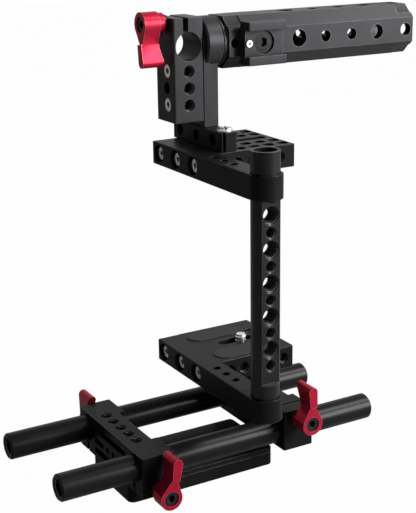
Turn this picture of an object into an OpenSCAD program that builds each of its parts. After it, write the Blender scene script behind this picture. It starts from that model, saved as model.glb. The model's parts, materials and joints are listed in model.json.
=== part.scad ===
// Half cage for a camera on a pair of 15 mm rods.
// +X points to the upright tube, +Y to the back of the rig and +Z up. The origin is
// the mouth of the tripod thread, in the middle of the base slab's underside.

/* [Rods] */
// Diameter of each rod
rod_d = 15; // [14.5:0.5:18]
// Distance between the two rod axes
rod_pitch = 60; // [50:1:70]
// Length of each rod
rod_l = 200; // [170:5:300]
// How far the near rod stands out in front of the front clamp
rod_front = 44.7; // [20:0.5:50]
// How much further forward the far rod is set
far_rod_ahead = 4.5; // [0:0.5:10]

/* [Base slab] */
// Width of the slab, across the rods
slab_w = 48.4; // [44:0.2:56]
// Length of the slab, along the rods
slab_l = 93.6; // [84:0.2:110]
// Thickness of the slab
slab_t = 10; // [8:0.2:14]

/* [Rod clamps] */
// How far a clamp reaches past the outer side of each rod
clamp_side = 3.1; // [2:0.1:10]
// Depth of each clamp, along the rods
clamp_d = 19.4; // [16:0.2:26]
// Height from the rod axis to the near, closed side
clamp_short = 9.2; // [8.8:0.1:14]
// Height from the rod axis to the split side
clamp_long = 14.6; // [13.4:0.1:18]
// Distance between the front faces of the two clamps
clamp_span = 90.3; // [84:0.5:110]

/* [Cage arms and tube] */
// Height of the underside of the lower arm above the rod axis
arm_rise = 34.5; // [24:0.5:50]
// Thickness of both arms and both plates
arm_t = 12.6; // [11:0.2:16]
// Depth of both arms, along the rods
arm_d = 12.7; // [11:0.1:14]
// Distance from the middle of the plates to the tube axis
tube_x = 76.2; // [66:0.2:110]
// Diameter of the upright tube
tube_d = 15; // [14:0.5:18]
// Clear height between the lower arm and the upper arm
bay_h = 105; // [90:1:180]
// How far the tube stands out above the upper arm
tube_top = 11.5; // [8:0.5:40]
// Wall of the rings around the tube
ring_wall = 1.4; // [1:0.1:4]

/* [Plates] */
// Width of both plates, across the rods
plate_w = 50.8; // [48:0.2:64]
// Length of both plates, along the rods
plate_l = 48.2; // [46:0.2:60]

/* [Top handle] */
// Length of the eight-sided grip
grip_l = 123.9; // [110:0.1:160]
// Width of the grip, across the rods
grip_w = 29.8; // [28:0.2:36]
// Height of the grip
grip_h = 27.8; // [26.4:0.2:34]
// Height of the rod post
post_h = 55.2; // [52:0.5:80]
// Width of the rod post, across the rods
post_w = 20; // [18:0.5:30]
// Depth of the rod post, along the rods
post_d = 18; // [17.4:0.2:24]

/* [Lever knobs] */
// Reach of a lever knob from its screw to its tip
lever_reach = 22.6; // [18:0.2:28]
// Diameter of a lever knob's hub
hub_d = 12.8; // [10.6:0.2:14]
// Length of a lever knob's hub, along its screw
hub_l = 12.4; // [11:0.2:16]

/* [Hidden] */
$fn = 64;

// Clearances and the overrun of every cut
run_gap = 0.05;
screw_gap = 0.05;
seat_gap = 0.1;
cut = 1;

// Screw sizes: M4 for what clamps and joins, quarter-inch, three-eighths-inch and M12
// for what holds accessories
m4_r = 2;
m4_head_r = 3.6;
m4_head_h = 4;
m4_hex_r = 1.73;
m4_hex_depth = 2.2;
m3_r = 1.5;
m3_hex_r = 0.87;
quarter_r = 3.175;
quarter_hole_r = quarter_r + screw_gap;
three_eighths_r = 4.76;
three_eighths_hole_r = three_eighths_r + screw_gap;
m12_r = 6;
m12_hole_r = m12_r + screw_gap;
tap_depth = 7;
side_tap_depth = 3;
edge = 0.6;

// Heights
rod_z = slab_t + clamp_long;
arm_z = rod_z + arm_rise;
arm_top = arm_z + arm_t;
upper_z = arm_top + bay_h;
upper_top = upper_z + arm_t;
rear_top = rod_z + clamp_long;

// Places along and across the rods
rod_r = rod_d / 2;
clamp_w = rod_pitch + rod_d + 2 * clamp_side;
front_y = -slab_l / 2;
rod_y = front_y - rod_front;
rear_y = front_y + clamp_span;
tube_r = tube_d / 2;
ring_r = tube_r + run_gap + ring_wall;

// The lever side of a clamp
lever_web = 1;
lever_drop = rod_r + lever_web + m4_r;
split_w = 1.8;
lever_tap_l = 11;
clamp_hole_pitch_share = 0.21;
clamp_hole_pitch = clamp_hole_pitch_share * (rod_pitch - rod_d);
clamp_holes = 5;
clamp_tap_depth = 4.6;
slab_screw_x = 12;
slab_screw_l = 14;
slab_corner_r = 4;
slab_groove = 0.8;
slab_groove_h = 2.4;
slab_tap_pitch = 18;

// Pockets in a clamp's faces. Their ends are shares of the width between the rods,
// and their heights are shares of the clamp's height, both from the rod axes
pocket_depth = 4;
pocket_h = 3.6;
pocket_long_shares = [-0.32, 0.44];
pocket_short_shares = [0.19, 0.45];
pocket_low_shares = [-0.46, 0.3];
pocket_top_share = 0.13;
pocket_mid_share = -0.17;
pocket_base_share = -0.42;
face_hole_x = 3.4;
face_hole_r = 1.8;
row_forward = 1.8;
row_aside = 1.4;
back_recess_share = 0.9;
back_recess = 3.4;

// Rods: a bore with a threaded mouth at each end
rod_bore_r = 4;
rod_thread_l = 15;
rod_edge = 0.9;

// Riser between the rear clamp and the camera plate
riser_w = 26;
riser_d = 15;
riser_set = 1.8;
riser_y = rear_y - riser_set;
riser_screw_x = 8;
riser_screw_in = 5;
riser_screw_y = riser_y + riser_d - riser_screw_in;
riser_grip = 8;
riser_head_sink = 5;

// Plates on the arms
plate_over = 2.8;
plate_y = riser_y + riser_d + plate_over - plate_l;
arm_y = plate_y - arm_d;
arm_screw_pitch = 18.8;
arm_screws_n = 3;
arm_screw_l = 10.8;
arm_cbore_r = 5;
arm_cbore_depth = 5.8;
arm_hole_x = 41.1;
arm_hole_pitch = 9.7;
arm_hole_r = 2.2;
ring_y = arm_y + ring_r;
camera_row_holes = 5;
camera_row_pitch = 8.8;
top_row_holes = 4;
top_row_pitch = 9;
top_row_back = 0.9;

// Camera plate: a slot for the camera screw between two rubber pads
slot_play = 0.3;
slot_w = 2 * quarter_r + slot_play;
slot_l = 23;
slot_start = 13.6;
slot_recess_w = 11.4;
slot_recess_h = 5.2;
pad_w = 14;
pad_l = 33.5;
pad_x = 15.6;
pad_start = 1.8;
pad_t = 1.7;
pad_sink = 1.2;

// Camera screw and the washer that it turns in
camera_screw_set = 28.4;
camera_screw_y = plate_y + camera_screw_set;
camera_head_r = 5;
camera_head_h = 3.2;
camera_stand = 3.2;
camera_end_l = 2.4;
camera_relief_r = 2.7;
relief_below = 0.5;
driver_slot_w = 1.2;
driver_slot_depth = 1.4;
washer_r = 5.4;
washer_t = 1.2;

// Upright rod: a flat on each side and a row of small and large holes, turn about
tube_thread_l = 15;
flat_out = 5.3;
flat_low = 8.1;
flat_high = 4;
tube_hole_first = 17.8;
tube_hole_pitch = 8.8;
tube_hole_small_r = 2.75;
tube_hole_big_r = 4.2;
tube_hole_edge_share = 0.2;
ring_screw_out = 1.6;
ring_screw_turn = 30;

// Top plate: a slot among rows of threaded holes
grid_x = [-19, -10, 10, 19];
grid_pitch = 9;
grid_rows = 4;
grid_back = 4.2;
top_slot_w = 6.5;
top_slot_l = 24;
top_slot_back = 3.2;
pin_hole_r = 0.8;

// Bracket under the handle
foot_d = 10;
foot_h = 10.4;
foot_beyond = 3;
foot_row_aside = 2.6;
foot_set = 2.1;
foot_y = plate_y + foot_set;
foot_near_in = 1.3;
foot_screw_inset = 5.9;
foot_notch_w = 1.5;
foot_notch_front = 1.4;
foot_notch_l = 2.3;
foot_screw_head_r = 4.2;
foot_screw_head_h = 2.4;
foot_screw_r = 2.4;
foot_screw_grip = 3.6;
head_top_share = 0.82;
foot_face_pitch = 17.8;
foot_face_depth = 2.6;
bracket_t = 8.8;
bracket_w = 20;
shoulder_gap = 0.3;
shoulder_drop = 9;
bracket_y = foot_y + foot_d - bracket_t;
joint_screw_r = 2.5;
joint_head_r = 4.4;
joint_head_h = 3;
joint_grip = 11;

// Rod post
post_x = -5;
post_y = bracket_y - post_d;
post_stand = 14;
post_z = upper_top + post_stand;
post_top = post_z + post_h;
post_bore_below = 15;
post_bore_z = post_top - post_bore_below;
post_bore_y = post_y + post_d / 2;
post_slot_w = 2.8;
post_slot_shift = 1.6;
post_lever_rise = 12;
post_lever_z = post_bore_z + post_lever_rise;
post_back_wall = 1.6;
post_lever_screw_l = post_d - post_back_wall;
post_hole_pitch = 9;
post_hole_drop = 13;
post_holes = 3;
post_hole_depth = 5;
post_screw_head_sink = 0.4;
post_screw_grip = 3.6;
post_row_aside = 1.6;

// Handle: flange, spacer ring and grip on one axis
tongue_t = 4.1;
flange_r = 14.1;
flange_t = 7.1;
flange_wrap = 3.2;
flange_edge = 1;
spacer_r = 13.6;
spacer_t = 2;
flange_y = bracket_y + tongue_t;
spacer_y = flange_y + flange_t;
grip_y = spacer_y + spacer_t;
grip_rise = 0.4;
grip_z = post_bore_z + grip_rise;
grip_bevel = 7;
grip_front_wall = 16;
grip_bore_r = 10;
grip_hole_first = 44.6;
grip_hole_pitch = 17.8;
grip_hole_r = [4.7, quarter_hole_r, quarter_hole_r, 4.2];
grip_end_hole = 5.2;
grip_end_hole_r = 3.7;
all_turns = [0, 90, 180, 270];
near_turns = [0, 90, 270];
neck_hole_y = 3.5;
neck_hole_r = 2.9;
neck_hole_depth = 5;
end_land_l = 10.4;
end_land_w = 6.6;
end_land_depth = 0.6;
bolt_r = 3;
bolt_head_r = 5;
bolt_head_h = 3;
bolt_l = 24;
bolt_hex_r = 2.3;

// Accessory shoe on the near side of the grip
shoe_set = 6.1;
shoe_y = grip_y + shoe_set;
shoe_l = 24.4;
shoe_h = 23;
shoe_out = 9.4;
shoe_base = 5.4;
shoe_mouth = 13.3;
shoe_channel = 18.6;
shoe_channel_t = 2.1;
shoe_bolt_r = 3;
shoe_bolt_head_r = 6.1;
shoe_bolt_head_h = 2.9;
shoe_bolt_sink = 1.2;
shoe_bolt_grip = 3.6;
shoe_hex_r = 2.6;
stop_screw_r = 1.2;
stop_head_r = 1.8;
stop_head_h = 1;
stop_inset = 2.4;
stop_hex_depth = 0.8;
stop_grip = 3;

// Lever knobs
insert_r = 4.6;
insert_t = 1.8;
lever_neck = 10.3;
neck_left = 1.6;
neck_right = 2.9;
neck_step = 0.8;
neck_relief = 3.3;
tip_proud = 1;
collar_step = 0.8;
relief_r = 40;
tip_shift = 0.4;
lever_tip_r = 2.75;
hub_side_share = 0.94;
hub_rise_share = 0.32;
lever_screw_head_r = 4.2;
lever_screw_head_h = 4.6;
lever_screw_sink = 0.8;
lever_hex_r = 2.3;
lever_hex_depth = 2.4;
front_lever_tilt = 10;
rear_lever_tilt = -3;
post_lever_tilt = 173;

// Shapes shared by several pieces

// A block from the origin with chamfered upright corners
module block(w, d, h) {
    linear_extrude(h)
        polygon([
            [edge, 0], [w - edge, 0], [w, edge], [w, d - edge],
            [w - edge, d], [edge, d], [0, d - edge], [0, edge]
        ]);
}

// A plate centred on x, with round corners
module round_plate(w, l, h, r) {
    linear_extrude(h) {
        translate([-w / 2 + r, 0])
            square([w - 2 * r, l]);
        translate([-w / 2, r])
            square([w, l - 2 * r]);
        for (x = [-w / 2 + r, w / 2 - r])
            for (y = [r, l - r])
                translate([x, y])
                    circle(r);
    }
}

// A stadium along +Y, centred on x, from y = 0 to y = l
module stadium(w, l, h) {
    linear_extrude(h) {
        translate([-w / 2, w / 2])
            square([w, l - w]);
        for (y = [w / 2, l - w / 2])
            translate([0, y])
                circle(w / 2);
    }
}

// Cylinders along the two level axes
module along_x(r, l) {
    rotate([0, 90, 0])
        cylinder(r = r, h = l);
}

module along_y(r, l) {
    rotate([-90, 0, 0])
        cylinder(r = r, h = l);
}

// A cap screw on the z axis: head upward from z = 0, shank downward
module cap_screw(r, l, head_r, head_h, hex_r, hex_depth) {
    difference() {
        union() {
            translate([0, 0, -l])
                cylinder(r = r, h = l);
            cylinder(r = head_r, h = head_h);
        }
        translate([0, 0, head_h - hex_depth])
            cylinder(r = hex_r, h = hex_depth + cut, $fn = 6);
    }
}

// A slotted screw on the z axis: tapered head upward from z = 0, shank downward
module slotted_screw(r, l, head_r, head_h) {
    difference() {
        union() {
            translate([0, 0, -l])
                cylinder(r = r, h = l);
            cylinder(r1 = head_r, r2 = head_r * head_top_share, h = head_h);
        }
        translate([-driver_slot_w / 2, -head_r - cut, head_h - driver_slot_depth])
            cube([driver_slot_w, 2 * (head_r + cut), driver_slot_depth + cut]);
    }
}

// Base slab and what fastens it

module base_slab() {
    color("#1b1b1c")
    difference() {
        translate([0, front_y, 0])
            round_plate(slab_w, slab_l, slab_t, slab_corner_r);
        // A step along each upper side
        for (side = [-1, 1])
            translate([side * (slab_w / 2 - slab_groove / 2) - (slab_groove + cut) / 2 + side * cut / 2,
                       front_y - cut, slab_t - slab_groove_h])
                cube([slab_groove + cut, slab_l + 2 * cut, slab_groove_h + cut]);
        // Tripod threads
        translate([0, 0, -cut])
            cylinder(r = quarter_hole_r, h = tap_depth + cut);
        for (side = [-1, 1])
            translate([0, side * slab_tap_pitch, -cut])
                cylinder(r = three_eighths_hole_r, h = tap_depth + cut);
        slab_screw_places()
            translate([0, 0, -cut]) {
                cylinder(r = m4_r + screw_gap, h = slab_t + 2 * cut);
                cylinder(r = m4_head_r + seat_gap, h = m4_head_h + cut);
            }
    }
}

module slab_screw_places() {
    for (side = [-1, 1])
        translate([side * slab_screw_x, front_y + clamp_d / 2, 0])
            children();
}

module slab_screws() {
    color("#8c8a86")
    slab_screw_places()
        translate([0, 0, m4_head_h])
            mirror([0, 0, 1])
                cap_screw(m4_r, slab_screw_l, m4_head_r, m4_head_h - seat_gap, m4_hex_r, m4_hex_depth);
}

// Rod clamps: closed side up, split side down, with the rod axes at z = 0 and the
// front face at y = 0

module clamp_body() {
    inner_w = rod_pitch - rod_d;
    tall = clamp_short + clamp_long;
    difference() {
        translate([-clamp_w / 2, 0, -clamp_long])
            block(clamp_w, clamp_d, tall);
        for (side = [-1, 1])
            mirror_side(side) {
                translate([rod_pitch / 2, -cut, 0])
                    along_y(rod_r + run_gap, clamp_d + 2 * cut);
                translate([rod_pitch / 2 - split_w / 2, -cut, -clamp_long - cut])
                    cube([split_w, clamp_d + 2 * cut, clamp_long + cut]);
                // The lever screw passes the outer jaw and is held by the inner one
                translate([rod_pitch / 2, clamp_d / 2, -lever_drop])
                    along_x(m4_r + screw_gap, clamp_w / 2 - rod_pitch / 2 + cut);
                translate([rod_pitch / 2 - lever_tap_l, clamp_d / 2, -lever_drop])
                    along_x(m4_r + screw_gap, lever_tap_l + cut);
            }
        // Threaded holes in the closed side
        for (i = [0 : clamp_holes - 1])
            translate([(i - (clamp_holes - 1) / 2) * clamp_hole_pitch - row_aside,
                       clamp_d / 2 - row_forward, clamp_short - clamp_tap_depth])
                cylinder(r = quarter_hole_r, h = clamp_tap_depth + cut);
        // Pockets and holes in the front face, and a recess along the back face
        face_pocket(pocket_long_shares, pocket_top_share);
        face_pocket(pocket_low_shares, pocket_base_share);
        face_pocket(pocket_short_shares, pocket_mid_share);
        face_pocket([-pocket_short_shares[1], -pocket_short_shares[0]], pocket_mid_share);
        for (side = [-1, 1])
            translate([side * face_hole_x, -cut, pocket_mid_share * tall])
                along_y(face_hole_r, pocket_depth + cut);
        translate([-back_recess_share * inner_w / 2, clamp_d - back_recess, -clamp_long - cut])
            cube([back_recess_share * inner_w, back_recess + cut, tall + 2 * cut]);
    }
}

// Mirrors its children to the far side
module mirror_side(side) {
    if (side < 0)
        mirror([1, 0, 0])
            children();
    else
        children();
}

// A round-ended pocket in the front face
module face_pocket(ends_shares, height_share) {
    inner_w = rod_pitch - rod_d;
    l = (ends_shares[1] - ends_shares[0]) * inner_w;
    translate([ends_shares[0] * inner_w, pocket_depth, height_share * (clamp_short + clamp_long)])
        rotate([90, 0, 0])
            linear_extrude(pocket_depth + cut) {
                translate([pocket_h / 2, -pocket_h / 2])
                    square([l - pocket_h, pocket_h]);
                for (end = [pocket_h / 2, l - pocket_h / 2])
                    translate([end, 0])
                        circle(pocket_h / 2);
            }
}

module front_clamp() {
    color("#1d1d1e")
    difference() {
        translate([0, front_y, rod_z])
            clamp_body();
        slab_screw_places()
            translate([0, 0, slab_t - cut])
                cylinder(r = m4_r + screw_gap,
                         h = slab_screw_l + m4_head_h - slab_t + cut + seat_gap);
    }
}

module rear_clamp() {
    color("#1d1d1e")
    difference() {
        translate([0, rear_y, rod_z])
            mirror([0, 0, 1])
                clamp_body();
        riser_screw_places()
            translate([0, 0, rear_top - riser_grip - seat_gap])
                cylinder(r = m4_r + screw_gap, h = riser_grip + seat_gap + cut);
    }
}

// Rods

module rod() {
    rotate_extrude()
        polygon([
            [m12_hole_r, 0], [rod_r - rod_edge, 0], [rod_r, rod_edge],
            [rod_r, rod_l - rod_edge], [rod_r - rod_edge, rod_l], [m12_hole_r, rod_l],
            [m12_hole_r, rod_l - rod_thread_l], [rod_bore_r, rod_l - rod_thread_l],
            [rod_bore_r, rod_thread_l], [m12_hole_r, rod_thread_l]
        ]);
}

module rod_at(side, ahead = 0) {
    color("#202021")
    translate([side * rod_pitch / 2, rod_y - ahead, rod_z])
        rotate([-90, 0, 0])
            rod();
}

// Lever knobs: the screw axis is z, the knob stands on z = 0 and points along +Y

module lever_arm() {
    side = hub_d / 2 * hub_side_share;
    rise = hub_d / 2 * hub_rise_share;
    tip_y = lever_reach - lever_tip_r;
    linear_extrude(hub_l)
        polygon([
            [-side, rise], [-neck_left, lever_neck],
            [neck_right - neck_step, lever_neck], [side, rise]
        ]);
    // The tip stands a little proud of the hub's face
    linear_extrude(hub_l + tip_proud) {
        polygon([
            [-neck_left, lever_neck], [tip_shift - lever_tip_r, tip_y],
            [tip_shift + lever_tip_r, tip_y], [neck_right, lever_neck]
        ]);
        translate([tip_shift, tip_y])
            circle(lever_tip_r);
    }
}

module lever_knob() {
    color("#b3152d")
    translate([0, 0, insert_t])
        difference() {
            union() {
                cylinder(r = hub_d / 2 - collar_step, h = hub_l);
                translate([0, 0, neck_relief])
                    cylinder(r = hub_d / 2, h = hub_l - neck_relief);
                difference() {
                    lever_arm();
                    // The arm is hollowed on the clamp's side
                    translate([-hub_d, hub_d / 2, neck_relief - relief_r])
                        along_x(relief_r, 2 * hub_d);
                    translate([-hub_d / 2, 0, -cut])
                        cube([hub_d, hub_d / 2, neck_relief + cut]);
                }
            }
            translate([0, 0, -cut])
                cylinder(r = m4_r + run_gap, h = hub_l + 2 * cut);
            translate([0, 0, hub_l - lever_screw_head_h - lever_screw_sink])
                cylinder(r = lever_screw_head_r + seat_gap,
                         h = lever_screw_head_h + lever_screw_sink + cut);
        }
}

module lever_insert() {
    color("#55565a")
    difference() {
        cylinder(r = insert_r, h = insert_t);
        translate([0, 0, -cut])
            cylinder(r = m4_r + run_gap, h = insert_t + 2 * cut);
    }
}

module lever_screw(reach) {
    color("#26262a")
    translate([0, 0, insert_t + hub_l - lever_screw_head_h - lever_screw_sink])
        cap_screw(m4_r, insert_t + hub_l - lever_screw_head_h - lever_screw_sink + reach,
                  lever_screw_head_r, lever_screw_head_h, lever_hex_r, lever_hex_depth);
}

// Puts a knob on a clamp's outer side, pointing up and leaning back by tilt
module on_clamp(side, y, z, tilt) {
    translate([side * clamp_w / 2, y + clamp_d / 2, z])
        rotate([-tilt, 0, 0])
            rotate([90, 0, side * 90])
                children();
}

module on_front_clamp(side) {
    on_clamp(side, front_y, rod_z - lever_drop, side > 0 ? front_lever_tilt : 0)
        children();
}

module on_rear_clamp(side) {
    on_clamp(side, rear_y, rod_z + lever_drop, rear_lever_tilt)
        children();
}

// Puts a knob on the front of the rod post, pointing down
module on_post() {
    translate([post_x, post_y, post_lever_z])
        rotate([0, post_lever_tilt, 0])
            rotate([90, 0, 0])
                children();
}

module clamp_lever_screw() {
    lever_screw(clamp_w / 2 - rod_pitch / 2 + lever_tap_l - seat_gap);
}

// Riser and camera plate

module riser_screw_places() {
    for (side = [-1, 1])
        translate([side * riser_screw_x, riser_screw_y, 0])
            children();
}

module riser_block() {
    color("#19191a")
    difference() {
        translate([-riser_w / 2, riser_y, rear_top])
            block(riser_w, riser_d, arm_z - rear_top);
        riser_screw_places()
            translate([0, 0, rear_top - cut])
                cylinder(r = m4_r + screw_gap, h = arm_z - rear_top + 2 * cut);
    }
}

module riser_screws() {
    color("#2a2a2c")
    riser_screw_places()
        translate([0, 0, arm_top - riser_head_sink])
            cap_screw(m4_r, arm_top - riser_head_sink - rear_top + riser_grip,
                      m4_head_r, m4_head_h, m4_hex_r, m4_hex_depth);
}

// A plate behind an arm, with the arm's screw holes and threaded holes in both sides
module plate_blank(z, holes, pitch, back) {
    difference() {
        translate([-plate_w / 2, plate_y, z])
            block(plate_w, plate_l, arm_t);
        arm_screw_places(z)
            along_y(m4_r + screw_gap, arm_cbore_depth + arm_screw_l + seat_gap);
        for (side = [-1, 1])
            for (i = [0 : holes - 1])
                translate([side * plate_w / 2, plate_y + plate_l / 2 + back
                           + (i - (holes - 1) / 2) * pitch, z + arm_t / 2])
                    rotate([0, -side * 90, 0])
                        translate([0, 0, -cut])
                            cylinder(r = quarter_hole_r, h = side_tap_depth + cut);
    }
}

module camera_plate() {
    color("#1c1c1d")
    difference() {
        plate_blank(arm_z, camera_row_holes, camera_row_pitch, 0);
        translate([0, plate_y + slot_start, arm_z - cut])
            stadium(slot_w, slot_l, arm_t + 2 * cut);
        translate([0, plate_y + slot_start - (slot_recess_w - slot_w) / 2, arm_z - cut])
            stadium(slot_recess_w, slot_l + slot_recess_w - slot_w, slot_recess_h + cut);
        pad_places()
            translate([0, -run_gap, arm_top - pad_sink])
                stadium(pad_w + 2 * run_gap, pad_l + 2 * run_gap, pad_sink + cut);
        riser_screw_places()
            translate([0, 0, arm_z - cut]) {
                cylinder(r = m4_r + screw_gap, h = arm_t + 2 * cut);
                translate([0, 0, arm_t + cut - riser_head_sink])
                    cylinder(r = m4_head_r + seat_gap, h = riser_head_sink + cut);
            }
    }
}

module pad_places() {
    for (side = [-1, 1])
        translate([side * pad_x, plate_y + pad_start, 0])
            children();
}

module camera_pads() {
    color("#141415")
    pad_places()
        translate([0, 0, arm_top - pad_sink])
            stadium(pad_w, pad_l, pad_t);
}

module camera_screw() {
    under_top = camera_head_h + washer_t + arm_t - slot_recess_h;
    color("#c9c7c2")
    translate([0, camera_screw_y, arm_z + slot_recess_h - washer_t - camera_head_h - seat_gap])
        difference() {
            union() {
                cylinder(r = camera_head_r, h = camera_head_h);
                cylinder(r = quarter_r, h = under_top - relief_below);
                cylinder(r = camera_relief_r, h = under_top + camera_stand);
                translate([0, 0, under_top + camera_stand - camera_end_l])
                    cylinder(r = quarter_r, h = camera_end_l);
            }
            translate([-driver_slot_w / 2, -camera_head_r - cut, -cut])
                cube([driver_slot_w, 2 * (camera_head_r + cut), driver_slot_depth + cut]);
        }
}

module camera_screw_washer() {
    color("#8c8a86")
    translate([0, camera_screw_y, arm_z + slot_recess_h - washer_t])
        difference() {
            cylinder(r = washer_r, h = washer_t);
            translate([0, 0, -cut])
                cylinder(r = quarter_r + run_gap, h = washer_t + 2 * cut);
        }
}

// Arms: a bar with a ring at its tube end

module arm_screw_places(z) {
    for (i = [0 : arm_screws_n - 1])
        translate([(i - (arm_screws_n - 1) / 2) * arm_screw_pitch, arm_y, z + arm_t / 2])
            children();
}

module arm(z) {
    color("#1a1a1b")
    difference() {
        union() {
            translate([-plate_w / 2, arm_y, z])
                cube([tube_x + plate_w / 2, arm_d, arm_t]);
            translate([tube_x, ring_y, z])
                cylinder(r = ring_r, h = arm_t);
        }
        translate([tube_x, ring_y, z - cut])
            cylinder(r = tube_r + run_gap, h = arm_t + 2 * cut);
        ring_screw_place(z)
            along_y(m3_r + screw_gap, ring_r + cut);
        arm_screw_places(z)
            translate([0, -cut, 0]) {
                along_y(m4_r + screw_gap, arm_d + 2 * cut);
                along_y(arm_cbore_r, arm_cbore_depth + cut);
            }
        for (i = [-1 : 1])
            translate([arm_hole_x + i * arm_hole_pitch, arm_y + arm_d / 2, z - cut])
                cylinder(r = arm_hole_r, h = arm_t + 2 * cut);
    }
}

module arm_screws(z) {
    color("#b9b6ae")
    arm_screw_places(z)
        translate([0, arm_cbore_depth, 0])
            rotate([90, 0, 0])
                cap_screw(m4_r, arm_screw_l, m4_head_r, m4_head_h, m4_hex_r, m4_hex_depth);
}

// The ring screw's line starts on the rod's axis and points to the back
module ring_screw_place(z) {
    translate([tube_x, ring_y, z + arm_t / 2])
        rotate([0, 0, ring_screw_turn])
            children();
}

module ring_screw(z) {
    color("#2a2a2c")
    ring_screw_place(z)
        translate([0, tube_r + seat_gap, 0])
            difference() {
                along_y(m3_r, ring_wall + ring_screw_out);
                translate([0, ring_wall, 0])
                    rotate([-90, 0, 0])
                        cylinder(r = m3_hex_r, h = ring_screw_out + cut, $fn = 6);
            }
}

// Upright rod

module upright_rod() {
    rod_h = upper_top + tube_top - arm_z;
    flat_h = upper_z + flat_high - arm_top - flat_low;
    first_z = arm_top + tube_hole_first;
    last_z = arm_z + rod_h - tube_thread_l - 2 * tube_hole_small_r;
    holes = floor((last_z - first_z) / tube_hole_pitch);
    color("#1c1c1d")
    translate([tube_x, ring_y, 0])
        difference() {
            translate([0, 0, arm_z])
                cylinder(r = tube_r, h = rod_h);
            end_thread(arm_z, 1);
            end_thread(arm_z + rod_h, -1);
            for (side = [0, 180])
                rotate([0, 0, side])
                    translate([flat_out, -tube_r - cut, arm_top + flat_low])
                        cube([tube_r, tube_d + 2 * cut, flat_h]);
            for (i = [0 : holes])
                translate([0, 0, first_z + i * tube_hole_pitch])
                    cross_hole(i % 2 == 0 ? tube_hole_small_r : tube_hole_big_r);
        }
}

// A threaded hole in an end of the upright rod
module end_thread(z, up) {
    translate([0, 0, z])
        mirror([0, 0, up < 0 ? 1 : 0])
            translate([0, 0, -cut])
                cylinder(r = m12_hole_r, h = tube_thread_l + cut);
}

// A hole from flat to flat, with a bevelled edge on both
module cross_hole(r) {
    edge_w = tube_hole_edge_share * r;
    translate([-tube_r - cut, 0, 0])
        along_x(r, tube_d + 2 * cut);
    for (side = [0, 180])
        rotate([0, 0, side])
            translate([flat_out - edge_w, 0, 0])
                rotate([0, 90, 0])
                    cylinder(r1 = r, r2 = r + edge_w + cut, h = edge_w + cut);
}

// Top plate

module top_plate() {
    color("#222223")
    difference() {
        plate_blank(upper_z, top_row_holes, top_row_pitch, top_row_back);
        for (x = grid_x)
            for (row = [0 : grid_rows - 1])
                translate([x, plate_y + plate_l - grid_back - row * grid_pitch, upper_z - cut])
                    cylinder(r = quarter_hole_r, h = arm_t + 2 * cut);
        for (side = [-1, 1])
            for (row = [0 : grid_rows - 2])
                translate([side * (grid_x[2] + grid_x[3]) / 2,
                           plate_y + plate_l - grid_back - (row + 1 / 2) * grid_pitch, upper_z - cut])
                    cylinder(r = pin_hole_r, h = arm_t + 2 * cut);
        translate([0, plate_y + plate_l - top_slot_back - top_slot_l, upper_z - cut])
            stadium(top_slot_w, top_slot_l, arm_t + 2 * cut);
        foot_screw_places()
            translate([0, 0, -foot_screw_grip - seat_gap])
                cylinder(r = foot_screw_r + screw_gap, h = foot_screw_grip + seat_gap + cut);
    }
}

// Bracket: a foot on the top plate and an upright behind the rod post

module foot_screw_places() {
    for (side = [-1, 1])
        translate([side * (plate_w / 2 - foot_screw_inset), foot_y + foot_d / 2, upper_top])
            children();
}

module bracket_foot() {
    color("#1f1f20")
    difference() {
        translate([-plate_w / 2 - foot_beyond, foot_y, upper_top])
            block(plate_w + foot_beyond - foot_near_in, foot_d, foot_h);
        foot_screw_places()
            translate([0, 0, -cut])
                cylinder(r = foot_screw_r + screw_gap, h = foot_h + 2 * cut);
        // A saw cut in the near end, close to the front
        translate([plate_w / 2 - foot_near_in - foot_notch_l, foot_y + foot_notch_front,
                   upper_top - cut])
            cube([foot_notch_l + cut, foot_notch_w, foot_h + 2 * cut]);
        for (i = [-1 : 1])
            translate([i * foot_face_pitch - foot_row_aside, foot_y - cut, upper_top + foot_h / 2])
                along_y(quarter_hole_r, foot_face_depth + cut);
        bracket_joint_place()
            translate([0, 0, -foot_h - cut])
                cylinder(r = joint_screw_r + screw_gap, h = foot_h + 2 * cut);
        bracket_joint_place()
            translate([0, 0, -foot_h - cut])
                cylinder(r = joint_head_r + seat_gap, h = joint_head_h + cut);
    }
}

module bracket_foot_screws() {
    color("#c9c7c2")
    foot_screw_places()
        translate([0, 0, foot_h])
            slotted_screw(foot_screw_r, foot_h + foot_screw_grip,
                          foot_screw_head_r, foot_screw_head_h);
}

// The screw that holds the upright on the foot comes up from the foot's underside
module bracket_joint_place() {
    translate([post_x, bracket_y + bracket_t / 2, upper_top + foot_h])
        children();
}

module bracket_joint_screw() {
    color("#2a2a2c")
    bracket_joint_place()
        translate([0, 0, joint_head_h - foot_h])
            mirror([0, 0, 1])
                cap_screw(joint_screw_r, foot_h - joint_head_h + joint_grip,
                          joint_head_r, joint_head_h - seat_gap, m4_hex_r, m4_hex_depth);
}

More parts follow.
